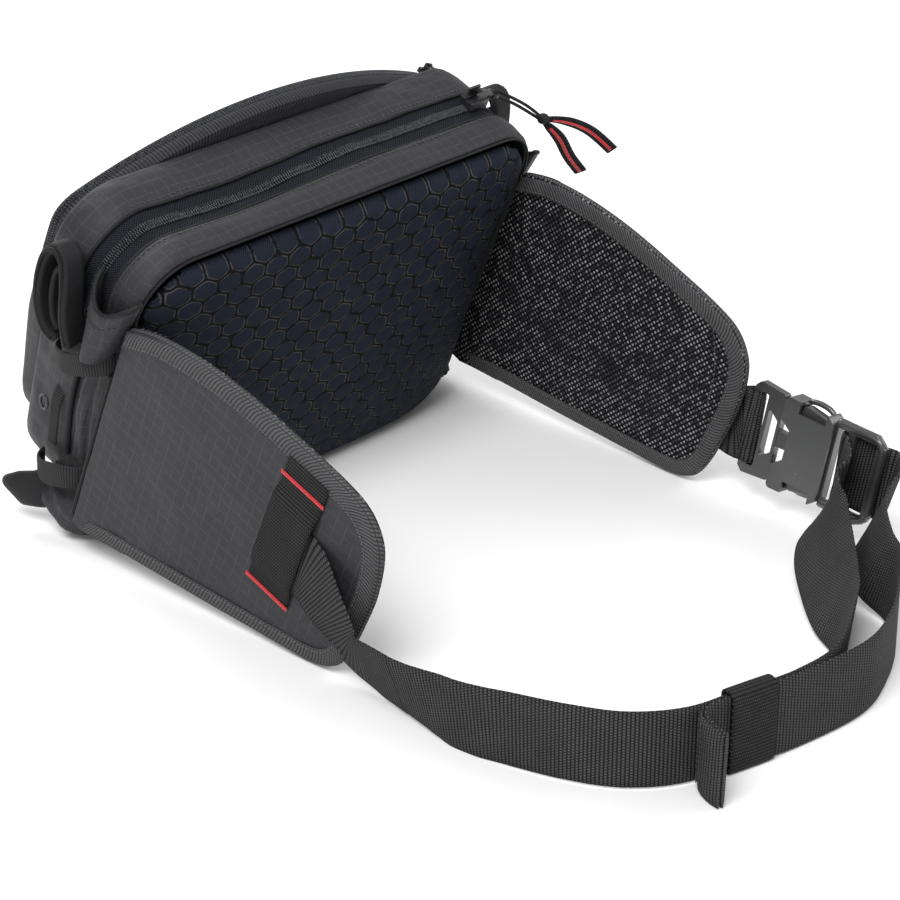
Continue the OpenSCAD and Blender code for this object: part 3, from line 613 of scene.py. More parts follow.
GREY = thread("grey_thread", (0.085, 0.085, 0.09), (0.03, 0.03, 0.032))
BLACK_TAPE = satin("black_piping", (0.004, 0.004, 0.0045), (0.012, 0.012, 0.013))
BLACK = thread("black_thread", (0.016, 0.016, 0.018), (0.006, 0.006, 0.007))
PLASTIC, METAL, COIL = plastic(), painted_metal(), coil_nylon()


# ---------------------------------------------------------------- the bag's skin

HALF_TOP, HALF_BOTTOM, TOP, FLOOR, DEPTH = 136.0, 124.0, 164.0, -19.0, 61.0
ZIP_END = 96.0
ZIP_D0, ZIP_D1, COIL_D = 18.3, 37.7, 28.0


def bag_rim(step=3.0, rb=36.0, rt=30.0):
    """The bag's outline in x and height, its outward normals and the distance along it."""
    side = math.degrees(math.atan((HALF_TOP - HALF_BOTTOM) / (TOP - FLOOR)))
    half = np.concatenate([arc(HALF_BOTTOM - rb, FLOOR + rb, rb, -90, -side, 12),
                           arc(HALF_TOP - rt, TOP - rt, rt, -side, 90, 14)])
    return even_rim(np.concatenate([half, half[::-1] * [-1, 1], half[:1]]), step)


def zip_dip(x):
    """How far the main zip sinks below the top, in the middle of its left half."""
    return 4.5 * np.exp(-((x + 58) / 42) ** 2) - 1.2 * np.exp(-((x - 30) / 50) ** 2)


def zip_sink(z):
    """How far the zip lies below the shell beside it; nothing at its ends."""
    return 1.6 * bump01((z - ZIP_END) / 14)


def skin(x, z, d):
    """Where the soft shell stands, out from the CAD outline, in millimetres."""
    top = bump01((z - 118) / 30)
    rear, front = d < ZIP_D0, d > ZIP_D1
    puff = 0.0
    if rear:
        puff = 2.0 * math.sin(math.pi * min(1, d / ZIP_D0)) ** 0.7
    elif front:
        puff = 2.4 * math.sin(math.pi * min(1, (DEPTH - d) / (DEPTH - ZIP_D1))) ** 0.7
    side = 2.2 * math.sin(math.pi * d / DEPTH)
    out = puff * top + side * (1 - top)
    out -= zip_dip(x) * top * math.exp(-((d - COIL_D) / 16) ** 2)
    fold = ripple((x + 1.1 * d, 0.45 * d, z), 26, 3.1) + 0.5 * ripple((x + 1.6 * d, 0.7 * d, z), 11, 7.7)
    near_zip = bump01(min(abs(d - ZIP_D0), abs(d - ZIP_D1)) / 4) if (rear or front) else 1.0
    near_seam = bump01(min(d, DEPTH - d) / 5)
    out += (1.0 + 0.9 * front) * fold * near_seam * (0.35 + 0.65 * near_zip)
    return out - 0.9


def build_shell():
    rim, normal, along = bag_rim()
    zipped = rim[:, 1] > ZIP_END
    depths = np.unique(np.concatenate([
        [0, 0.8, 2], np.linspace(3.5, ZIP_D0 - 1.2, 7), [ZIP_D0 - 0.5, ZIP_D0],
        np.linspace(ZIP_D0 + 2, ZIP_D1 - 2, 7), [ZIP_D1, ZIP_D1 + 0.5],
        np.linspace(ZIP_D1 + 1.2, DEPTH - 3.5, 9), [DEPTH - 2, DEPTH - 0.8, DEPTH]]))
    verts, uv = [], []
    for k, ((x, z), (nx, nz)) in enumerate(zip(rim, normal)):
        for d in depths:
            h = skin(x, z, d)
            if zipped[k] and abs(d - COIL_D) <= (ZIP_D1 - ZIP_D0) / 2 + 0.01:
                h -= zip_sink(z)
            h -= 1.6 * (1 - min(1, min(d, DEPTH - d) / 2.0)) ** 2
            verts.append((x + nx * h, d, z + nz * h))
            uv.append((along[k], d))
    inside = [ZIP_D0 - 0.01 <= a and b <= ZIP_D1 + 0.01 for a, b in zip(depths, depths[1:])]
    covered = lambda i, j: not (inside[j] and zipped[i] and zipped[(i + 1) % len(rim)])
    faces = grid_faces(len(rim), len(depths), wrap_n=True, keep=covered)
    cloth("bag_shell", lifted(bag(verts), 0.6), faces, RIPSTOP, 1.3, uv=uv,
          replaces=["main_shell", "main_trim_rear", "main_trim_front"])
    # the hidden wall between the two compartments
    middle, inset = 70, 1.5
    wall = [(x - nx * inset, DEPTH - 0.6, z - nz * inset) for (x, z), (nx, nz) in zip(rim, normal)]
    rings = [[(x * t, d, (z - middle) * t + middle) for x, d, z in wall] for t in (1, 0.7, 0.4, 0.1)]
    world = lifted(bag(np.array(rings).reshape(-1, 3)), 0.8)
    cloth("bag_front_wall", world, cup_faces(4, len(wall)), RIPSTOP, 1.2)


def zip_line(side=0.0, lift=0.0, step=1.3):
    """The main zip's course in the bag's frame, side away from the coil: points and outward normals."""
    rows = []
    for (x, z), (nx, nz) in zip(*bag_rim(step)[:2]):
        if z > ZIP_END:
            h = skin(x, z, COIL_D + side) - zip_sink(z) + lift
            rows.append((x + nx * h, COIL_D + side, z + nz * h, nx, nz))
    return np.array(rows)


def coil(name, line, tan, out, apart, ends, wide, high, replaces):
    """Two rows of meshed coil loops along a zip, each a small capsule laid across it."""
    across = np.array([0.0, 1.0, 0.0])
    verts, faces = [], []
    for p, t, o in zip(line, tan, out):
        for row in (-1, 1):
            faces += capsule_faces(len(verts))
            c = p + t * (0.36 * row) + across * (row * apart)
            verts += capsule(c, across, wide * t, high * o, ends, (0.35, 0.9))
    piece(name, bag(verts), faces, COIL, "bag", replaces)


def build_main_zip():
    widths = np.linspace(-10.5, 10.5, 15)
    lines = [zip_line(w, 0.3 + 0.55 * math.exp(-(w / 2.4) ** 2))[:, :3] for w in widths]
    along = run_length(lines[7])
    cloth("main_zip_tape", bag(np.stack(lines, 1).reshape(-1, 3)), grid_faces(len(along), len(widths)), TAPE,
          0.7, replaces=["main_tape_rear", "main_tape_front"], uv=grid_uv(along, widths))
    mid = zip_line(0, 1.15, 1.45)
    line, out = mid[:, :3], np.stack([mid[:, 3], np.zeros(len(mid)), mid[:, 4]], 1)
    coil("main_zip_coil", line, tangents(line), out, 1.25, (1.425, 1.045), 0.50, 0.72, ["main_coil"])
    # the sewn edges of the shell on both sides of the tape
    for name, d, shift in (("rear", ZIP_D0, -2.4), ("front", ZIP_D1, 2.4)):
        tube(f"zip_edge_{name}", zip_line(d - COIL_D, 1.75), 0.75, LINING, "bag", sides=8)
        row = []
        for (x, z), (nx, nz) in zip(*bag_rim(1.3)[:2]):
            if z > ZIP_END:
                h = skin(x, z, d + shift) + 0.12
                row.append((x + nx * h, d + shift, z + nz * h))
        stitches(f"zip_stitch_{name}", row, BLACK, "bag")


# ---------------------------------------------------------------- the front pocket

ARCH_FOOT = 116.0


def pocket_top(x, crown=9.0, r=298.0):
    """The height of the pocket's arched top."""
    return TOP + crown - r + np.sqrt(r * r - x * x)


def pocket_rim(step=3.0, rb=40.0):
    half = np.concatenate([arc(HALF_BOTTOM - 4 - rb, FLOOR + 12 + rb, rb, -90, 0, 12),
                           [[127.5, 80], [128, 118], [127, 140]],
                           [[x, pocket_top(x)] for x in np.linspace(121, 0, 22)]])
    return even_rim(np.concatenate([half, half[-2::-1] * [-1, 1], half[:1]]), step, rounds=3)


def pocket_depth(z):
    return np.interp(z, [-19, -7, 22, 55, 100, 140, 163, 176], [12, 15, 21.5, 23.5, 22.5, 18, 13.2, 12])


def build_pocket():
    rim, normal, along = pocket_rim()
    centre, wall_depth, face_depth = np.array([0, 62]), 11.2, 11.6
    walls = (0.5, 3, 6, 9, wall_depth)
    inward = (0.012, 0.03, 0.06, 0.1, 0.16, 0.23, 0.31, 0.4, 0.5, 0.62, 0.74, 0.86, 0.95)
    verts, uv = [], []
    for w in walls:
        h = 0.5 * math.sin(math.pi * w / wall_depth)
        for k, (x, z) in enumerate(rim + normal * h):
            verts.append((x, DEPTH + w, z))
            uv.append((along[k], w))
    for t in inward:
        for k, (x, z) in enumerate(rim * (1 - t) + centre * t):
            rise = math.sin(math.pi / 2 * min(1, (t + 0.01) / 0.3)) ** 0.8
            d = face_depth + max(0.0, pocket_depth(z) - face_depth) * rise
            d += 1.0 * ripple((x + 0.6 * z, 0, z), 34, 5.5) * bump01(t / 0.12)
            verts.append((x, DEPTH + d, z))
            uv.append((along[k], d))
    n, rings = len(rim), len(walls) + len(inward)
    zipped = rim[:, 1] > 120
    covered = lambda i, j: not (i < len(walls) - 1 and zipped[j] and zipped[(j + 1) % n])
    faces = grid_faces(rings, n, wrap_m=True, keep=covered) + [tuple((rings - 1) * n + k for k in range(n))]
    cloth("front_pocket_shell", lifted(bag(verts), 0.6), faces, RIPSTOP, 1.2, uv=uv,
          replaces=["front_pocket"])


def arch_sheet(name, place, widths, thick, replaces=()):
    """A ribbed sheet along the pocket's arch; place gives its distance out of the rim and its depth."""
    rim, normal, along = pocket_rim()
    arch = np.where(rim[:, 1] > ARCH_FOOT)[0]
    verts, uv = [], []
    for k in arch:
        for w in widths:
            out, depth = place(w, rim[k][1])
            verts.append((rim[k][0] + normal[k][0] * out, DEPTH + depth, rim[k][1] + normal[k][1] * out))
            uv.append((along[k], w))
    faces = grid_faces(len(arch), len(widths))
    cloth(name, bag(verts), faces, BAND, thick, uv=uv, replaces=replaces)


def build_front_zip():
    """The ribbed band that carries the pocket's zip and shows behind the top, its inner face and its coil."""
    over = lambda w, z: (1.1 * math.sin(math.pi * np.clip(w / 7.0, 0, 1)) + 0.5 + (0.4 if w < 0.7 else 0), w)
    widths = [-0.6, 0.0, 0.6, 2, 3.6, 5.2, 6.8, 8, 9.2, 10.4, 11.4]
    arch_sheet("front_zip_band", over, widths, 1.0, ["front_tape_rear", "front_tape_front"])
    down = lambda w, z: (-w * min(1.0, max(0.15, (z - ARCH_FOOT) / 40)), -0.2 if w < 0 else -0.7)
    arch_sheet("front_zip_face", down, [-0.4, 0.6, 3, 6, 9, 12], 0.8)
    rim, normal, _ = pocket_rim(1.5)
    keep = rim[:, 1] >= 122
    level = np.zeros(keep.sum())
    out = np.stack([normal[keep, 0], level, normal[keep, 1]], 1)
    tan = np.stack([normal[keep, 1], level, -normal[keep, 0]], 1)
    line = np.stack([rim[keep, 0], level + DEPTH + 9, rim[keep, 1]], 1) + out * 0.5
    coil("front_zip_coil", line, tan, out, 0.85, (0.9, 0.63), 0.46, 0.55, ["front_coil"])


# ---------------------------------------------------------------- the lumbar pad

def pad_depth(x, z, edge):
    """How far the pad stands out at a point, in millimetres; edge is the distance from its rim."""
    u = np.clip((z - (FLOOR + 1)) / 180.6, 0, 1)
    along = np.interp(u, [0, 0.05, 0.11, 0.19, 0.3, 0.42, 0.55, 0.68, 0.8, 0.9, 0.96, 1],
                      [0.66, 0.86, 0.97, 1, 0.95, 0.84, 0.68, 0.5, 0.34, 0.22, 0.16, 0.1])
    fade = 1 - min(1, abs(x) / 130) ** 5
    return 0.4 + 21.2 * along * (0.12 + 0.88 * fade) * min(1, (edge / 13 + 0.02)) ** 0.55


def inflate(obj, voxel, cap, pressure):
    """Cloth pressure on a copy of the closed mesh; no point moves further than cap. Millimetres."""
    mod = obj.modifiers.new("Remesh", "REMESH")
    mod.mode, mod.voxel_size, mod.use_smooth_shade = "VOXEL", voxel * MM, True
    apply_modifiers(obj)
    rest = np.array([v.co for v in obj.data.vertices])
    settings = obj.modifiers.new("Cloth", "CLOTH").settings
    settings.use_pressure = True
    settings.uniform_pressure_force = pressure
    settings.effector_weights.gravity = 0
    settings.tension_stiffness = settings.compression_stiffness = 20
    settings.quality = 5
    scene = bpy.context.scene
    for f in range(1, 21):
        scene.frame_set(f)
    deps = bpy.context.evaluated_depsgraph_get()
    mesh = bpy.data.meshes.new_from_object(obj.evaluated_get(deps))
    moved = np.array([v.co for v in mesh.vertices]) - rest
    far = np.linalg.norm(moved, axis=1, keepdims=True)
    moved *= np.minimum(1, cap * MM / np.maximum(far, 1e-9))
    obj.modifiers.clear()
    scene.frame_set(1)
    obj.data.vertices.foreach_set("co", (rest + moved).ravel())
    obj.data.update()


def build_pad():
    rim, normal, _ = bag_rim()
    centre = np.array([0, 72.0])
    inner = rim - normal * 2.6
    steps = [0, 0.004, 0.012, 0.025, 0.045, 0.07, 0.1, 0.14, 0.19, 0.25, 0.32,
             0.4, 0.5, 0.6, 0.7, 0.8, 0.9, 0.97]
    verts = []
    for t in steps:
        for p in inner:
            x, z = p * (1 - t) + centre * t
            edge = math.hypot(x - p[0], z - p[1])
            verts.append((x, -pad_depth(x, z, edge), z))
    # the back of the pad, hidden against the shell
    verts += [(p[0], 4.0, p[1]) for p in inner]
    n, m = len(steps), len(inner)
    faces = cup_faces(n, m) + [(k, n * m + k, n * m + (k + 1) % m, (k + 1) % m) for k in range(m)]
    faces.append(tuple(n * m + k for k in reversed(range(m))))
    pad = piece("lumbar_pad", lifted(bag(verts), 1.2), faces, HONEYCOMB, "bag",
                ["back_mesh", "back_foam"])
    inflate(pad, 4.0, 4.0, 3.0)
    for v in pad.data.vertices:
        v.co.z = max(v.co.z, 0.6 * MM)
    subdivide(pad)
    shade_smooth(pad.data)
    # the seam where the pad meets the shell
    edge = [(x - nx * 2.2, -0.5, z - nz * 2.2) for (x, z), (nx, nz) in zip(*bag_rim(2.0)[:2])]
    above = lambda p: lifted(bag(p), 0.4)
    tube("pad_seam", edge, 0.7, LINING, "bag", to_world=above, sides=8, closed=True)


def build_base():
    """The flat sheet under the bag."""
    half, back, front, r = 94, -10.5, 4.6, 6
    corners = ((half - r, front - r, 0), (r - half, front - r, 90),
               (r - half, back + r, 180), (half - r, back + r, 270))
    outline = np.concatenate([arc(x, y, r, turn, turn + 90, 7) for x, y, turn in corners])
    loop = [(x, y, z) for z in (0.4, 1.5) for x, y in outline]
    faces = tube_faces(2, len(outline))
    piece("base_sheet", metres(np.array(loop)), faces, RIPSTOP, "bag", ["base_panel"])


# ---------------------------------------------------------------- the gathered ends

def side_x(z):
    """How far out the bag's side stands at a height."""
    return np.interp(z, [-19, 14.65, 132, 164], [112, 123.92, 135.94, 128])


def ring_solid(name, rows, to_world, gap, material, replaces=(), body="bag"):
    """A closed solid from rows of points that are its rings."""
    rows = np.array(rows)
    world = lifted(to_world(rows.reshape(-1, 3)), gap)
    return piece(name, world, tube_faces(*rows.shape[:2]), material, body, replaces)


def row_cloth(name, rows, to_world, thick, offset=-1.0, replaces=()):
    """A sheet of ripstop from rows of points."""
    rows = np.array(rows)
    world = lifted(to_world(rows.reshape(-1, 3)), 0.8)
    faces = grid_faces(*rows.shape[:2])
    return cloth(name, world, faces, RIPSTOP, thick, offset, replaces=replaces)


def build_end_fold(tag, world):
    """The shell folded out in a U, pinched at its foot by the upper band."""
    rim = [(-1.5, -3), (6, -1), (9.5, 6), (10.2, 12), (9, 18), (4.5, 23), (-1.5, 25)]
    foot, tall, out, middle = 103, 30, 136.2, 12.5
    rows = []
    for f in np.linspace(0, 1, 12):
        z = foot + tall * f
        narrow = 0.3 + 0.7 * f ** 0.8
        line = []
        for x, d in rim:
            rise = 13.0 * f * ((d - 11) / 14) ** 2 + 0.8 * ripple((x, d * 1.4, z), 9, 6)
            line.append((out + x * (1.1 - 0.2 * f) + 1.2 * (1 - f), middle + (d - 11.5) * narrow, z + rise))
        rows.append(spline(line, 1.6))
    m = min(len(r) for r in rows)
    rows = np.array([[r[int(round(k * (len(r) - 1) / (m - 1)))] for k in range(m)] for r in rows])
    subdivide(row_cloth(f"end_fold_{tag}_cloth", rows, world, 2.0, 0, [f"end_fold_{tag}"]))
    tube(f"end_fold_{tag}_edge", rows[-1], 1.25, LINING, "bag", to_world=world, sides=8)
    seam = rows[-4]
    seam = seam + (seam - seam.mean(0)) * [0.05, 0.05, 0] + [1.15, 0, 0]
    stitches(f"end_fold_{tag}_stitch", seam[2:-2], BLACK, "bag", to_world=world)


def build_end_loops(tag, world):
    """The front zip band's end, folded back on itself in a long loop, and a smaller one inside it."""
    shift = np.array([142.8, -8, 7])
    big = spline([(0, 33, 96), (3, 37, 112), (4, 40, 128), (4, 44.5, 140), (4, 51, 143), (4, 56.5, 136),
                  (4, 57, 122), (3.5, 54, 108), (2, 48, 97), (0, 42, 93)], 1.4) + shift
    puffed = 1 + 0.10 * np.sin(np.linspace(0, 3 * math.pi, len(big)))
    strap(f"end_loop_{tag}_tape", big, (1, 0, 0), 12.5, 5.0, LINING, "bag",
          [f"end_loop_{tag}"], to_world=world, taper=puffed)
    for letter, way in (("a", -1), ("b", 1)):
        edge = big + [6.2 * way, 0, 0]
        tube(f"end_loop_{tag}_piping_{letter}", edge, 1.2, BLACK_TAPE, "bag", (), world, 8)
    small = spline([(0, 37, 99), (2, 41, 112), (2, 44, 124), (2, 47.5, 132), (2, 50.5, 128), (2, 50, 116),
                    (1, 47, 104), (0, 43, 98)], 1.4) + shift - [0.5, 0, 0]
    strap(f"end_loop_{tag}_inner", small, (1, 0, 0), 10, 3.0, LINING, "bag", to_world=world)


# each elastic band's name, its distance out, its width and its course
BANDS = (("upper_band", 133.4, 11, [(0.2, 4, 103.5), (8, 7, 102.5), (13.2, 15, 98), (12.6, 26, 90.5),
                                    (8, 35, 85.5), (0.2, 41, 82.5)]),
         ("lower_band", 127.9, 12, [(0, 4.5, 24), (7, 7.5, 23), (11.5, 15, 20), (11, 26, 13), (7, 34, 9),
                                    (0, 38, 7)]))


def build_bands(tag, world):
    for name, out, width, points in BANDS:
        path = spline(points, 1.3) + [out, 0, 0]
        bulge = 1 + 0.05 * np.sin(np.linspace(0, math.pi, len(path)))
        strap(f"{name}_{tag}_elastic", path, (0, 0.35, 0.94), width, 1.5, ELASTIC, "bag",
              [f"{name}_{tag}"], to_world=world, taper=bulge)


def build_gusset(tag, world):
    """The bulging side with its vertical folds, and its piping."""
    foot, tall = 22, 74
    rows = []
    for f in np.linspace(0, 1, 22):
        z = foot + tall * f
        swell = 0.3 + 0.7 * math.sin(math.pi * f) ** 0.8
        row = []
        for q in np.linspace(0, 1, 19):
            d = 2.0 + 21.5 * q
            x = side_x(z) + 8.6 * swell * math.sin(math.pi * q) ** 0.75
            x -= 4.6 * swell * math.exp(-((q - 0.36 - 0.14 * f) / 0.085) ** 2)
            x -= 1.8 * swell * math.exp(-((q - 0.70 + 0.10 * f) / 0.06) ** 2)
            x += 1.3 * ripple((d * 1.5, 3, z), 12, 9) + 0.5 * ripple((d * 2, 3, z), 5, 4)
            row.append((x, d, z))
        rows.append(row)
    row_cloth(f"gusset_{tag}_cloth", rows, world, 1.4, replaces=[f"gusset_{tag}"])
    pipe = [(side_x(z) + 2.2, 24.8 + 3.2 * math.sin(math.pi * (z - foot) / tall), z)
            for z in np.linspace(foot, foot + tall, 30)]
    tube(f"gusset_{tag}_piping", pipe, 1.7, LINING, "bag", [f"gusset_piping_{tag}"], world)


FLAP_STOPS = [0, 0.3, 0.6, 0.85, 1]
FLAP_COURSE = np.array([(-2, 17, 8), (5, 22, 2), (11, 29, -6), (15, 37, -12), (16, 43, -17)])
PLEATS = [[(5.5, 10, 16), (7.5, 13, 2), (3.5, 12, -14)], [(5.5, 20, 12), (7, 24, -2), (3, 24, -15)],
          [(5, 29, 8), (6, 35, -6), (2, 38, -16)]]


def build_corner(tag, world):
    """The dark end of the lower seam, rolled and pinched, the pleats above it and the gathered cloth."""
    rows = []
    for f in np.linspace(0, 1, 16):
        c = np.array([np.interp(f, FLAP_STOPS, FLAP_COURSE[:, k]) for k in range(3)])
        wide = np.interp(f, [0, 0.25, 0.8, 1], [9, 10.5, 11.5, 9.5])
        row = []
        for q in full_turn(22):
            u = wide * math.cos(q) * np.array([0.30, 0.85, 0.43])
            v = (4.6 + 1.2 * math.cos(2 * q)) * math.sin(q) * np.array([0.86, -0.08, -0.5])
            crease = 0.5 * ripple(c + u, 8, 4)
            row.append(c + u + v + [side_x(0) + 1 + crease, 0, crease])
        rows.append(row)
    ring_solid(f"corner_fold_{tag}_cloth", rows, world, 1.2, LINING, [f"corner_fold_{tag}"])
    for k, points in enumerate(PLEATS):
        line = spline(points, 2.0)
        line[:, 0] += side_x(line[:, 2]) - 2.5
        w = 4.6 - 0.5 * k
        half_turn = np.linspace(0, math.pi, 9)
        rows = [[p + [w * 0.75 * math.sin(q), -w * math.cos(q), 0] for q in half_turn] for p in line]
        row_cloth(f"corner_pleat_{tag}_{k}", rows, world, 1.0)
    pouch_at, pouch_half = np.array([122, 14, -5]), np.array([14.5, 20, 14])
    rows = []
    for lat in np.linspace(0.04, math.pi - 0.04, 17):
        row = []
        for q in full_turn(34):
            n = np.array([math.sin(lat) * math.cos(q), math.cos(lat), math.sin(lat) * math.sin(q)])
            swell = 1 + 0.13 * ripple(n * 11 + [0, 4, 0], 6, 3.3) + 0.08 * math.sin(7 * q + 3 * lat)
            row.append(pouch_at + n * pouch_half * swell)
        rows.append(row)
    ring_solid(f"corner_pouch_{tag}", rows, world, 1.0, RIPSTOP)


def build_side_strap(tag, world):
    hook = spline([(0.4, 37, 58), (4.2, 36, 50), (5.8, 34, 38), (6.2, 32.5, 24)], 1.4)
    hook[:, 0] += side_x(hook[:, 2])
    strap(f"side_strap_{tag}_web", hook, (0.1, 1, 0.1), 6, 1.3, ELASTIC, "bag",
          [f"side_strap_{tag}"], world)


def build_end(side):
    tag = "left" if side < 0 else "right"
    world = lambda p: bag(np.asarray(p) * [side, 1, 1])
    build_end_fold(tag, world)
    build_end_loops(tag, world)
    build_bands(tag, world)
    build_gusset(tag, world)
    build_corner(tag, world)
    build_side_strap(tag, world)


def build_root(side):
    """The cloth and the piping that join a wing's root to the bag's side."""
    tag = "left" if side < 0 else "right"
    rows = []
    for z in np.linspace(1, 128, 44):
        x = min(float(side_x(z)), 135.5)
        section = [(x + 0.8, 5.5), (x + 1.6, 2.5), (137.8, 0.4), (138.3, -1.5), (137.2, -6), (134.8, -6),
                   (133.6, -1.5), (131.5, -0.6), (x - 7, 0.6), (x - 8, 4.5)]
        rows.append([(side * out, d, z) for out, d in section])
    joint = ring_solid(f"wing_root_{tag}_cloth", rows, bag, 1.0, LINING, body=None)
    start, end = bag(np.array([[side * 136, 1.5, 60], [side * 136, -5.0, 60]]))
    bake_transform(joint)
    line = spline([(side * max(side_x(z) + 2.2, 137.4), 1.6, z) for z in (5, 20, 35, 50, 70, 88, 98)], 2)
    tube(f"wing_root_{tag}_piping", line, 1.5, BLACK_TAPE, "bag")


# ---------------------------------------------------------------- the wings

WING_EDGE = [(-46.6, 135.2), (-70, 137.2), (-97, 133.6), (-126, 125.6), (-157, 113.5), (-183, 102.3),
             (-198, 93), (-205.5, 81), (-206.6, 68), (-202, 49), (-194, 31), (-184.5, 13), (-175, 3.6),
             (-162, 1.2), (-145, 2.1), (-120, 4.2), (-86, 7.1), (-45, 11), (-8, 14.6)]
SPINE_Z = 62.0
BINDING_HALF = [(-1, 9.3), (-1, 9.0), (-1, 6.5), (-1, 4), (-1, 2), (-1, 0.7)]
BINDING_SECTION = BINDING_HALF + [(0, -0.7)] + [(1, delta) for _, delta in BINDING_HALF[::-1]]
STRIP_AT = np.array([0, -151, 62.1])


def spine_of(points, last):
    """The point of the wing's spine that each point of its outline is drawn towards."""
    return np.stack([np.clip(points[:, 0], -150, last), np.full(len(points), SPINE_Z)], 1)


def root_edge(z):
    """Where the wing's root lies along its length, at a height."""
    return -(z - SEAM_RISE) * math.tan(LEAN) - 0.6


def half_thick(delta):
    """Half the wing's thickness at a distance in from its edge."""
    return 2.5 + 1.3 * (1 - math.exp(-delta / 14))


def build_wing_pad(side, tag, edge):
    """The padded skins on both faces, each closed along the wing's middle plane."""
    root_z = np.linspace(edge[-1][1], edge[0][1], 40)[1:-1]
    root = np.stack([root_edge(root_z), root_z], 1)
    clamped = np.stack([np.minimum(edge[:, 0], root_edge(edge[:, 1])), edge[:, 1]], 1)
    loop = np.concatenate([clamped, root])
    spine = spine_of(loop, -62)
    steps = [0, 0.015, 0.04, 0.08, 0.13, 0.2, 0.28, 0.38, 0.5, 0.64, 0.8, 0.97]
    run = run_length(edge)
    extra = np.concatenate([12 * np.exp(-np.minimum(run, run[-1] - run) / 12), np.full(len(root), 12.0)])
    base, m = len(steps) * len(loop), len(loop)
    for face, name, mat, slot, nodes in ((1, "shell", RIPSTOP, "ripstop", ("wing_shell",)),
                                         (-1, "mesh", AIR, "air_mesh", ("wing_mesh", "wing_foam"))):
        verts = []
        for t in steps:
            for k, p in enumerate(loop):
                q = p * (1 - t) + spine[k] * t
                delta = np.linalg.norm(q - p) + extra[k]
                h = half_thick(delta) * (1 if delta > 1 else 0.75)
                at = (q[0], face * 40, q[1])
                h += (0.7 * ripple(at, 30, 2.2) + 0.35 * ripple(at, 11, 5.1)) * bump01(delta / 12)
                verts.append((face * h, q[0], q[1]))
        verts += [(0.0, p[0], p[1]) for p in loop]
        faces = cup_faces(len(steps), m) + [(k, base + k, base + (k + 1) % m, (k + 1) % m) for k in range(m)]
        faces.append(tuple(base + k for k in range(m)))
        obj = piece(f"wing_{name}_{tag}_pad", on_wing(side, verts), faces, mat, f"{tag}_wing",
                    [f"{node}_{tag}" for node in nodes])


def build_binding(side, tag, edge, way):
    """The binding folded over the edge."""
    verts, uv = [], []
    for along, start, into in zip(run_length(edge), edge, way):
        for j, (face, delta) in enumerate(BINDING_SECTION):
            q = start + into * delta
            q[0] = min(q[0], root_edge(q[1]) - 0.3)
            lift = 0.15 if delta > 9.1 else 0.75
            h = face * (half_thick(max(delta, 0)) * (1 if delta > 1 else 0.8) + lift)
            verts.append((h, q[0], q[1]))
            uv.append((along, (j - 6) * 1.7))
    faces = grid_faces(len(edge), len(BINDING_SECTION))
    cloth(f"wing_binding_{tag}_tape", on_wing(side, verts), faces, BINDING, 0.5,
          body=f"{tag}_wing", replaces=[f"wing_binding_{tag}"], uv=uv)


def build_strip(side, tag):
    """The webbing strip sewn over the belt's end, and its two bartacks."""
    body = f"{tag}_wing"
    place = lambda p: on_wing(side, turn_x(np.asarray(p, float), LEAN) + STRIP_AT)
    course = [(3.9, -35.5), (4.3, -31), (4.7, -26), (7.0, -20.5), (7.3, -10), (7.3, 10), (7.0, 20.5),
              (4.7, 26), (4.3, 31), (4.1, 37), (3.9, 43)]
    path = spline([(out, 0, z) for out, z in course], 1.3)
    strap(f"wing_strip_{tag}_web", path, (0, 1, 0), 26, 1.5, STRIP, body,
          [f"wing_strip_{tag}"], place)
    verts, faces = [], []
    wide, high = np.array([0, 0.30, 0]), np.array([0.5, 0, 0])
    for end in (-1, 1):
        for k, y in enumerate(np.arange(-13.6, 13.7, 0.56)):
            zigzag = np.array([0, 0.28 * (-1 if k % 2 else 1), 1.25])
            faces += capsule_faces(len(verts))
            verts += capsule(np.array([5.35, y, end * 33.6]), zigzag, wide, high, (1, 0.7), (0.3, 1))
    piece(f"bartacks_{tag}_thread", place(verts), faces, RED, body, [f"bartacks_{tag}"])


def build_wing(side):
    tag = "left" if side < 0 else "right"
    body = f"{tag}_wing"
    edge = spline(WING_EDGE, 3.0)
    way = unit(spine_of(edge, -40) - edge)
    build_wing_pad(side, tag, edge)
    build_binding(side, tag, edge, way)
    place = lambda p: on_wing(side, p)
    inset = 7.6
    for face, kind in ((1, "outer"), (-1, "inner")):
        seam = (edge + way * inset)[2:-2]
        row = np.column_stack([np.full(len(seam), face * (half_thick(inset) + 0.95)), seam])
        stitches(f"wing_stitch_{kind}_{tag}", row, GREY, body, 3.0, 2.0, 0.28, place)
    # the seam left inside by the strip's sewing
    row = spline([(-4.1, -187, 92), (-4.1, -189.5, 70), (-4.1, -186, 48)], 2)
    stitches(f"wing_seam_{tag}", row, GREY, body, 3.4, 2.4, 0.32, place)
    build_strip(side, tag)


# ---------------------------------------------------------------- the belt

WEB_W, WEB_T, WEB_Z = 38.0, 1.8, 20.2
HOUSING_BAR, HOUSING_END = 60.0, 80.0
BUCKLE_UP = (math.sin(BUCKLE_TILT), 0, math.cos(BUCKLE_TILT))
UPRIGHT = (0, 0, 1)

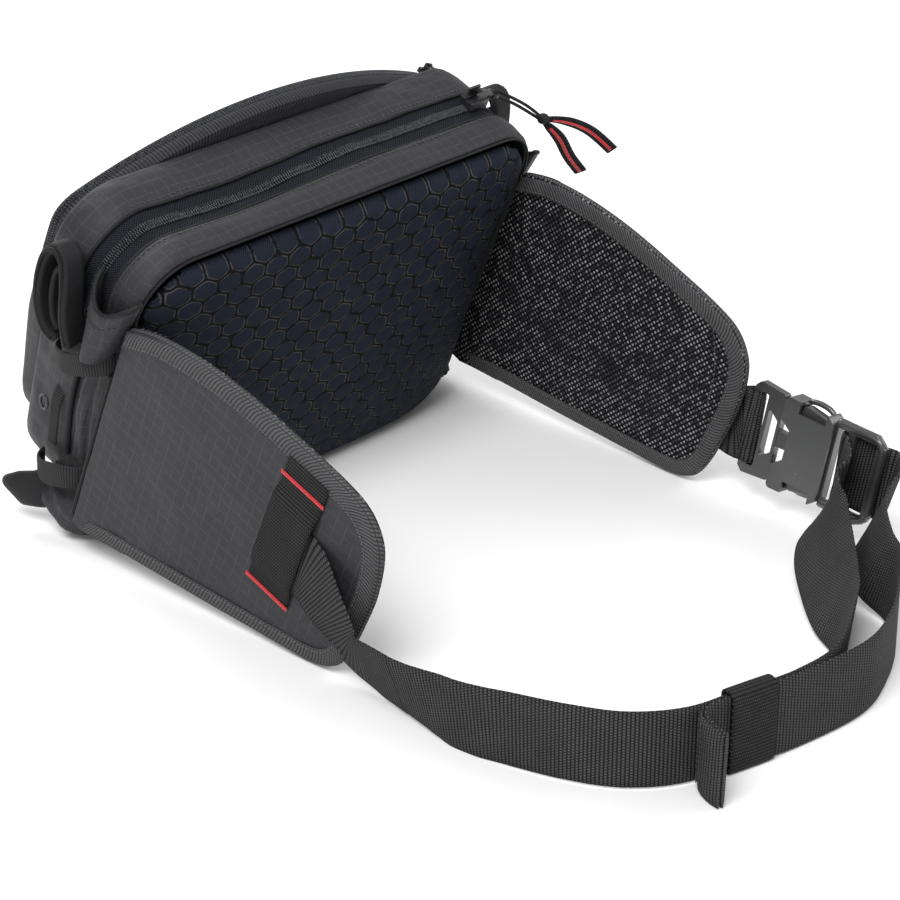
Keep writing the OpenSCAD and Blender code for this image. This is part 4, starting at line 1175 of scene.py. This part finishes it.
# the belt's courses: a point and the way of the strap's width there
ROOT_RUN = [(-138.4, -180, 37, -0.20, -0.64, 0.74), (-137.5, -193, 22.5, -0.37, -0.66, 0.66),
            (-138, -209, 18.2, -0.37, -0.53, 0.76), (-140.5, -234, 17.6, -0.27, -0.62, 0.74),
            (-141, -262, 19.0, -0.04, -0.40, 0.90), (-135.5, -284, 19.9, 0, -0.15, 0.98),
            (-126, -311, WEB_Z, *UPRIGHT)]
INNER_RUN = [(-126, -311, WEB_Z, *UPRIGHT), (-113, -334, WEB_Z, *UPRIGHT), (-92, -350.5, WEB_Z, *UPRIGHT),
             (-64, -358, WEB_Z, *UPRIGHT), (-36, -365.5, WEB_Z, *UPRIGHT), (-4, -364.5, WEB_Z, *UPRIGHT),
             (36, -340.5, 19.9, 0.15, -0.15, 0.98), (54, -321, 19.5, 0.35, -0.37, 0.86),
             (71, -304, 20.5, 0.42, -0.45, 0.79), (88, -288, 23.5, 0.44, -0.47, 0.76),
             (103, -277, 27.5, 0.38, -0.38, 0.84), (114, -273.5, 31, 0.27, -0.2, 0.94),
             (124, -272, 34.5, 0.19, -0.1, 0.97)]
OUTER_RUN = [(140, -290, 33.5, 0.17, -0.1, 0.98), (132, -295.5, 32, 0.22, -0.2, 0.95),
             (118, -298, 29.5, 0.28, -0.28, 0.92), (102, -304, 26.5, 0.3, -0.3, 0.9),
             (89, -318, 23, 0.25, -0.25, 0.93), (79, -336, 21, 0.1, -0.1, 0.99), (60, -351, WEB_Z, *UPRIGHT),
             (38, -363.5, WEB_Z, *UPRIGHT), (6, -373, WEB_Z, *UPRIGHT), (-36, -368.2, WEB_Z, *UPRIGHT),
             (-64, -360.7, WEB_Z, *UPRIGHT), (-84, -356.0, WEB_Z, *UPRIGHT), (-91, -359, 20.0, *UPRIGHT),
             (-95, -367, 19.6, *UPRIGHT), (-96, -374, 19.4, *UPRIGHT)]


def build_belt():
    under_strip = on_wing(-1, [(4.3, -142, 60.6), (4.3, -156, 54.7), (5.4, -166, 50.5)]) / MM
    whole = spline([(*p, *ROOT_AXIS) for p in under_strip] + ROOT_RUN, 1.5)
    cut = np.argmin(np.abs(whole[:, 1] + 225))
    root = whole[:cut + 1]
    obj = strap("belt_root_web", root, root[:, 3:6], WEB_W, WEB_T, WEBBING, None,
                ["belt_stub", "belt_lead"])
    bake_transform(obj)
    rest = whole[cut:]
    rest = rest[rest[:, 1] > -290]
    # round the adjuster's bar and back
    turn = [(*in_buckle(-3.1 * math.cos(a), HOUSING_BAR - 1.4 - 2.2 * math.sin(a)), *BUCKLE_UP)
            for a in np.linspace(0, math.pi, 7)]
    out = [(*in_buckle(3.4, HOUSING_END - 3), *BUCKLE_UP)]
    line = spline(rest[::8].tolist() + INNER_RUN + turn + out + OUTER_RUN, 1.5)
    for c in (3, 4, 5):
        line[:, c] = np.convolve(np.pad(line[:, c], 4, mode="edge"), np.ones(9) / 9, "valid")
    obj = strap("belt_web", line, line[:, 3:6], WEB_W, WEB_T, WEBBING, None, ["belt_webbing"])
    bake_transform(obj)
    # the tail's end, folded back and sewn
    tail = line[-16:, :3]
    away = unit(np.cross(tail[-1] - tail[0], UPRIGHT))
    strap("belt_tail_fold", tail + away * 2.0, UPRIGHT, WEB_W - 0.6, 1.7, WEBBING, "belt")
    for k, i in enumerate((3, 6)):
        row = [tail[i] + away * 3.1 + [0, 0, z] for z in np.linspace(-17, 17, 18)]
        stitches(f"belt_tail_stitch_{k}", row, BLACK, "belt", 2.6, 1.9, to_world=metres)


def build_keeper():
    centre, turn = np.array([-62, -359.6, WEB_Z + 0.5]), math.atan(-7.5 / 28)
    way = np.array([math.cos(turn), math.sin(turn), 0])
    across = np.array([-math.sin(turn), math.cos(turn), 0])
    half_t, half_h, half_w, step = 3.7, 19.8, 12, 1.2
    top = [(half_t, half_h - 3), (half_t * 0.6, half_h - 0.5), (0, half_h), (-half_t * 0.6, half_h - 0.5),
           (-half_t, half_h - 3)]
    foot = [(-half_t * 0.6, -half_h + 0.4), (0, -half_h), (half_t * 0.6, -half_h + 0.4)]
    outline = [(half_t, -half_h + 2), (half_t, 0), *top, (-half_t, 0), (-half_t, -half_h + 2), *foot]
    loop = spline(outline, step, closed=True)
    widths = np.linspace(-half_w, half_w, 11)
    rows = []
    for a in widths:
        bow = 1 + 0.5 * math.cos(math.pi * a / (2 * half_w)) / 12
        rows.append([centre + a * way + t * bow * across + [0, 0, h] for t, h in loop])
    uv = grid_uv(widths, np.arange(len(loop)) * step)[..., ::-1]
    faces = grid_faces(len(rows), len(loop), wrap_m=True)
    world = metres(np.array(rows))
    cloth("keeper_web", world, faces, STRIP, 1.3, 0, "keeper", ["belt_keeper"], uv)


def build_buckle_web():
    """The web sewn to the right wing, looped round the male frame's bar; the fourth value is its tilt."""
    out = on_wing(1, [(4.3, -142, 60.6), (4.3, -163, 51.8), (4.9, -180, 44.6), (6.0, -188, 41.2),
                      (6.3, -198, 38.8)]) / MM
    bar = ((3.0, -1.5, 8), (3.15, 1.5, 10), (2.7, 4.9, 10), (0, 6.1, 10), (-2.7, 4.9, 10), (-3.15, 1.5, 10),
           (-2.6, -1.5, 8))
    back = on_wing(1, [(4.2, -196, 39.5), (4.1, -188, 42.5)]) / MM + [1.0, 0, 0]
    path = spline([(*p, 0) for p in out] + [(*in_buckle(x, l), tilt) for x, l, tilt in bar]
                  + [(*back[0], 4), (*back[1], 0)], 1.2)
    tilt = np.radians(path[:, 3])
    up = np.stack([np.sin(tilt), np.zeros(len(path)), np.cos(tilt)], 1)
    obj = strap("buckle_loop_web", path, up, WEB_W, 1.6, WEBBING, None,
                ["buckle_web_stub", "buckle_web_loop"])
    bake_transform(obj)


# ---------------------------------------------------------------- the main zip's pull

PIN = np.array([113.5, 28, 171.15])
DROOP, PULLER_LENGTH = math.radians(24), 12
KNOT = np.array([157, 13, 150])
CORD_RADIUS = 0.9
TAILS = [[(0, 0, 0), (13, -6, -1.5), (25, -14, -6), (35, -25, -14)],
         [(0.4, -0.4, -2.2), (9, -7, -10.5), (17, -12, -22), (26, -17, -32)]]
TAIL_UP = np.array([0.25, -0.45, 0.86])


def build_pull():
    c, s = math.cos(DROOP), math.sin(DROOP)
    eye = PIN + [PULLER_LENGTH * c, 0, -PULLER_LENGTH * s]
    by = lambda x, z: eye + [x * c + z * s, 0, z * c - x * s]
    half_way = (eye + KNOT) / 2
    path = spline([KNOT + [-2, 1.1, -0.8], half_way + [0.5, 2.6, -1.2], by(5.2, -1.6), by(2.4, -2.3),
                   by(0.2, -0.9), by(0.2, 0.9), by(2.4, 2.3), by(5.2, 1.6), half_way + [2.5, -2.3, 1.4],
                   KNOT + [-2, -1.1, 0.8]], 0.8)
    cord = tube("pull_cord_loop", path, CORD_RADIUS, LINING, "main_pull", ["main_pull_cord"])
    route = bag(path)
    ball = []
    for lat in np.linspace(0, math.pi, 9):
        for q in full_turn(16):
            wide = 3.0 * (1 + 0.1 * math.sin(3 * q))
            way = [3.6 * math.cos(lat), wide * math.sin(lat) * math.cos(q), 2.9 * math.sin(lat) * math.sin(q)]
            ball.append(KNOT + [-1.0, 0.4, 0] + way)
    piece("pull_knot", bag(ball), grid_faces(9, 16, wrap_m=True), LINING, "main_pull")
    for k, points in enumerate(TAILS):
        p = spline(KNOT + points, 1.2)
        width = np.interp(np.linspace(0, 1, len(p)), [0, 0.12, 0.3, 1], [0.45, 0.8, 1, 1.02])
        strap(f"pull_tail_{k}", p, TAIL_UP, 7, 1.5, STRIP, "main_pull",
              () if k else ["main_pull_tails"], to_world=bag, taper=width)
        out = unit(np.cross(tangents(p), TAIL_UP))
        for letter, face in (("a", -1), ("b", 1)):
            row = (p + out * (face * 0.98))[4:-1]
            nodes = ["main_pull_stitching"] if (k, letter) == (0, "b") else ()
            strap(f"pull_red_{k}_{letter}", row, TAIL_UP, 1.9, 0.5, RED, "main_pull", nodes,
                  to_world=bag, rows=5)


# ---------------------------------------------------------------- hardware

def build_buckle_bars():
    """The round bar of the adjuster's frame and the rims of the latch windows."""
    start, end, half, r = 51, 78.2, 21.9, 6
    side = [(start, half), ((start + end) / 2, half), (end - r, half), (end - 0.3 * r, half - 0.3 * r),
            (end, half - r)]
    outline = [(0, l, -w) for l, w in side] + [(0, end, 0)] + [(0, l, w) for l, w in reversed(side)]
    world = lambda p: np.array([in_buckle(*v) for v in p]) * MM
    bar = spline(outline, 1.2)
    tube("buckle_adjuster_bar", bar, 2.55, PLASTIC, "belt", to_world=world, sides=14)
    for letter, way in (("a", -1), ("b", 1)):
        ring = [(4.4, 36 + 8.6 * math.cos(q), way * (21.2 + 3.2 * math.sin(q))) for q in full_turn(40)]
        name = f"buckle_latch_rim_{letter}"
        tube(name, ring, 1.5, PLASTIC, "belt", to_world=world, closed=True)


def dress_hardware():
    """The CAD's moulded and metal parts, with rounded edges and their own finishes."""
    finishes = ((PLASTIC, 1.1, ("buckle_male", "buckle_female", "latch_arm_upper", "latch_arm_lower")),
                (METAL, 0.3, ("main_slider", "main_puller", "front_slider", "front_puller")),
                (METAL, 0.0, ("side_ring_left", "side_ring_right")))
    for material, rounding, nodes in finishes:
        for node in nodes:
            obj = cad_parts[node]
            obj.data.materials.clear()
            obj.data.materials.append(material)
            obj.modifiers.new("Weld", "WELD").merge_threshold = 1e-5
            if rounding:
                bevel = obj.modifiers.new("Bevel", "BEVEL")
                bevel.width, bevel.segments = rounding * MM, 3
                bevel.limit_method, bevel.angle_limit = "ANGLE", math.radians(32)
                bevel.use_clamp_overlap = True
                obj.modifiers.new("Normals", "WEIGHTED_NORMAL").keep_sharp = False
            shade_smooth(obj.data)


# ---------------------------------------------------------------- studio

FLOOR_HALF = 6
SKY = 0.5
# each lamp's name, place, size and power
LAMPS = (("key", (-1.3, -0.7, 2.2), 1.3, 52), ("fill", (1.9, -1.3, 1.5), 1.6, 20),
         ("rim", (0.5, 1.9, 1.7), 1.2, 34))
LAMP_TARGET, CAMERA_TARGET = Vector((0, -0.12, 0.06)), Vector((0.01235, -0.11361, 0.040))
AZIMUTH, ELEVATION = math.radians(-46.74), math.radians(26.84)
CAMERA_DISTANCE, LENS = 1.387, 111.3


def facing(way):
    """The turn of a lamp or a camera that looks a way."""
    return way.to_track_quat("-Z", "Y").to_euler()


def build_studio():
    corners = [(x, y, 0) for x in (-FLOOR_HALF, FLOOR_HALF) for y in (-FLOOR_HALF, FLOOR_HALF)]
    piece("floor", corners, [(0, 1, 3, 2)], studio_paint())
    scene = bpy.context.scene
    scene.world = bpy.data.worlds.new("studio")
    scene.world.use_nodes = True
    sky = scene.world.node_tree.nodes["Background"]
    sky.inputs[0].default_value = (1, 1, 1, 1)
    sky.inputs[1].default_value = SKY
    for name, at, size, power in LAMPS:
        light = bpy.data.lights.new(name, "AREA")
        light.size, light.energy = size, power
        lamp = bpy.data.objects.new(name, light)
        scene.collection.objects.link(lamp)
        lamp.location = at
        lamp.rotation_euler = facing(LAMP_TARGET - Vector(at))
    scene.view_settings.view_transform = "Standard"
    level = math.cos(ELEVATION)
    back = Vector((math.sin(AZIMUTH) * level, -math.cos(AZIMUTH) * level, math.sin(ELEVATION)))
    camera = bpy.data.objects.new("camera", bpy.data.cameras.new("camera"))
    scene.collection.objects.link(camera)
    camera.location = CAMERA_TARGET + back * CAMERA_DISTANCE
    camera.rotation_euler = facing(-back)
    camera.data.lens = LENS
    scene.camera = camera


def studio_paint():
    s = Shade("floor_paper", Specular_IOR_Level=0.2)
    cloud = s.noise(s.place(), 3, 2)
    return s.finish(s.mix(cloud, (0.95, 0.95, 0.95), (0.97, 0.97, 0.97)), 0.8)


build_studio()
build_shell()
build_main_zip()
build_pocket()
build_front_zip()
build_pad()
build_base()
for which in (-1, 1):
    build_end(which)
    build_root(which)
    build_wing(which)
build_belt()
build_keeper()
build_buckle_web()
build_pull()
build_buckle_bars()
dress_hardware()
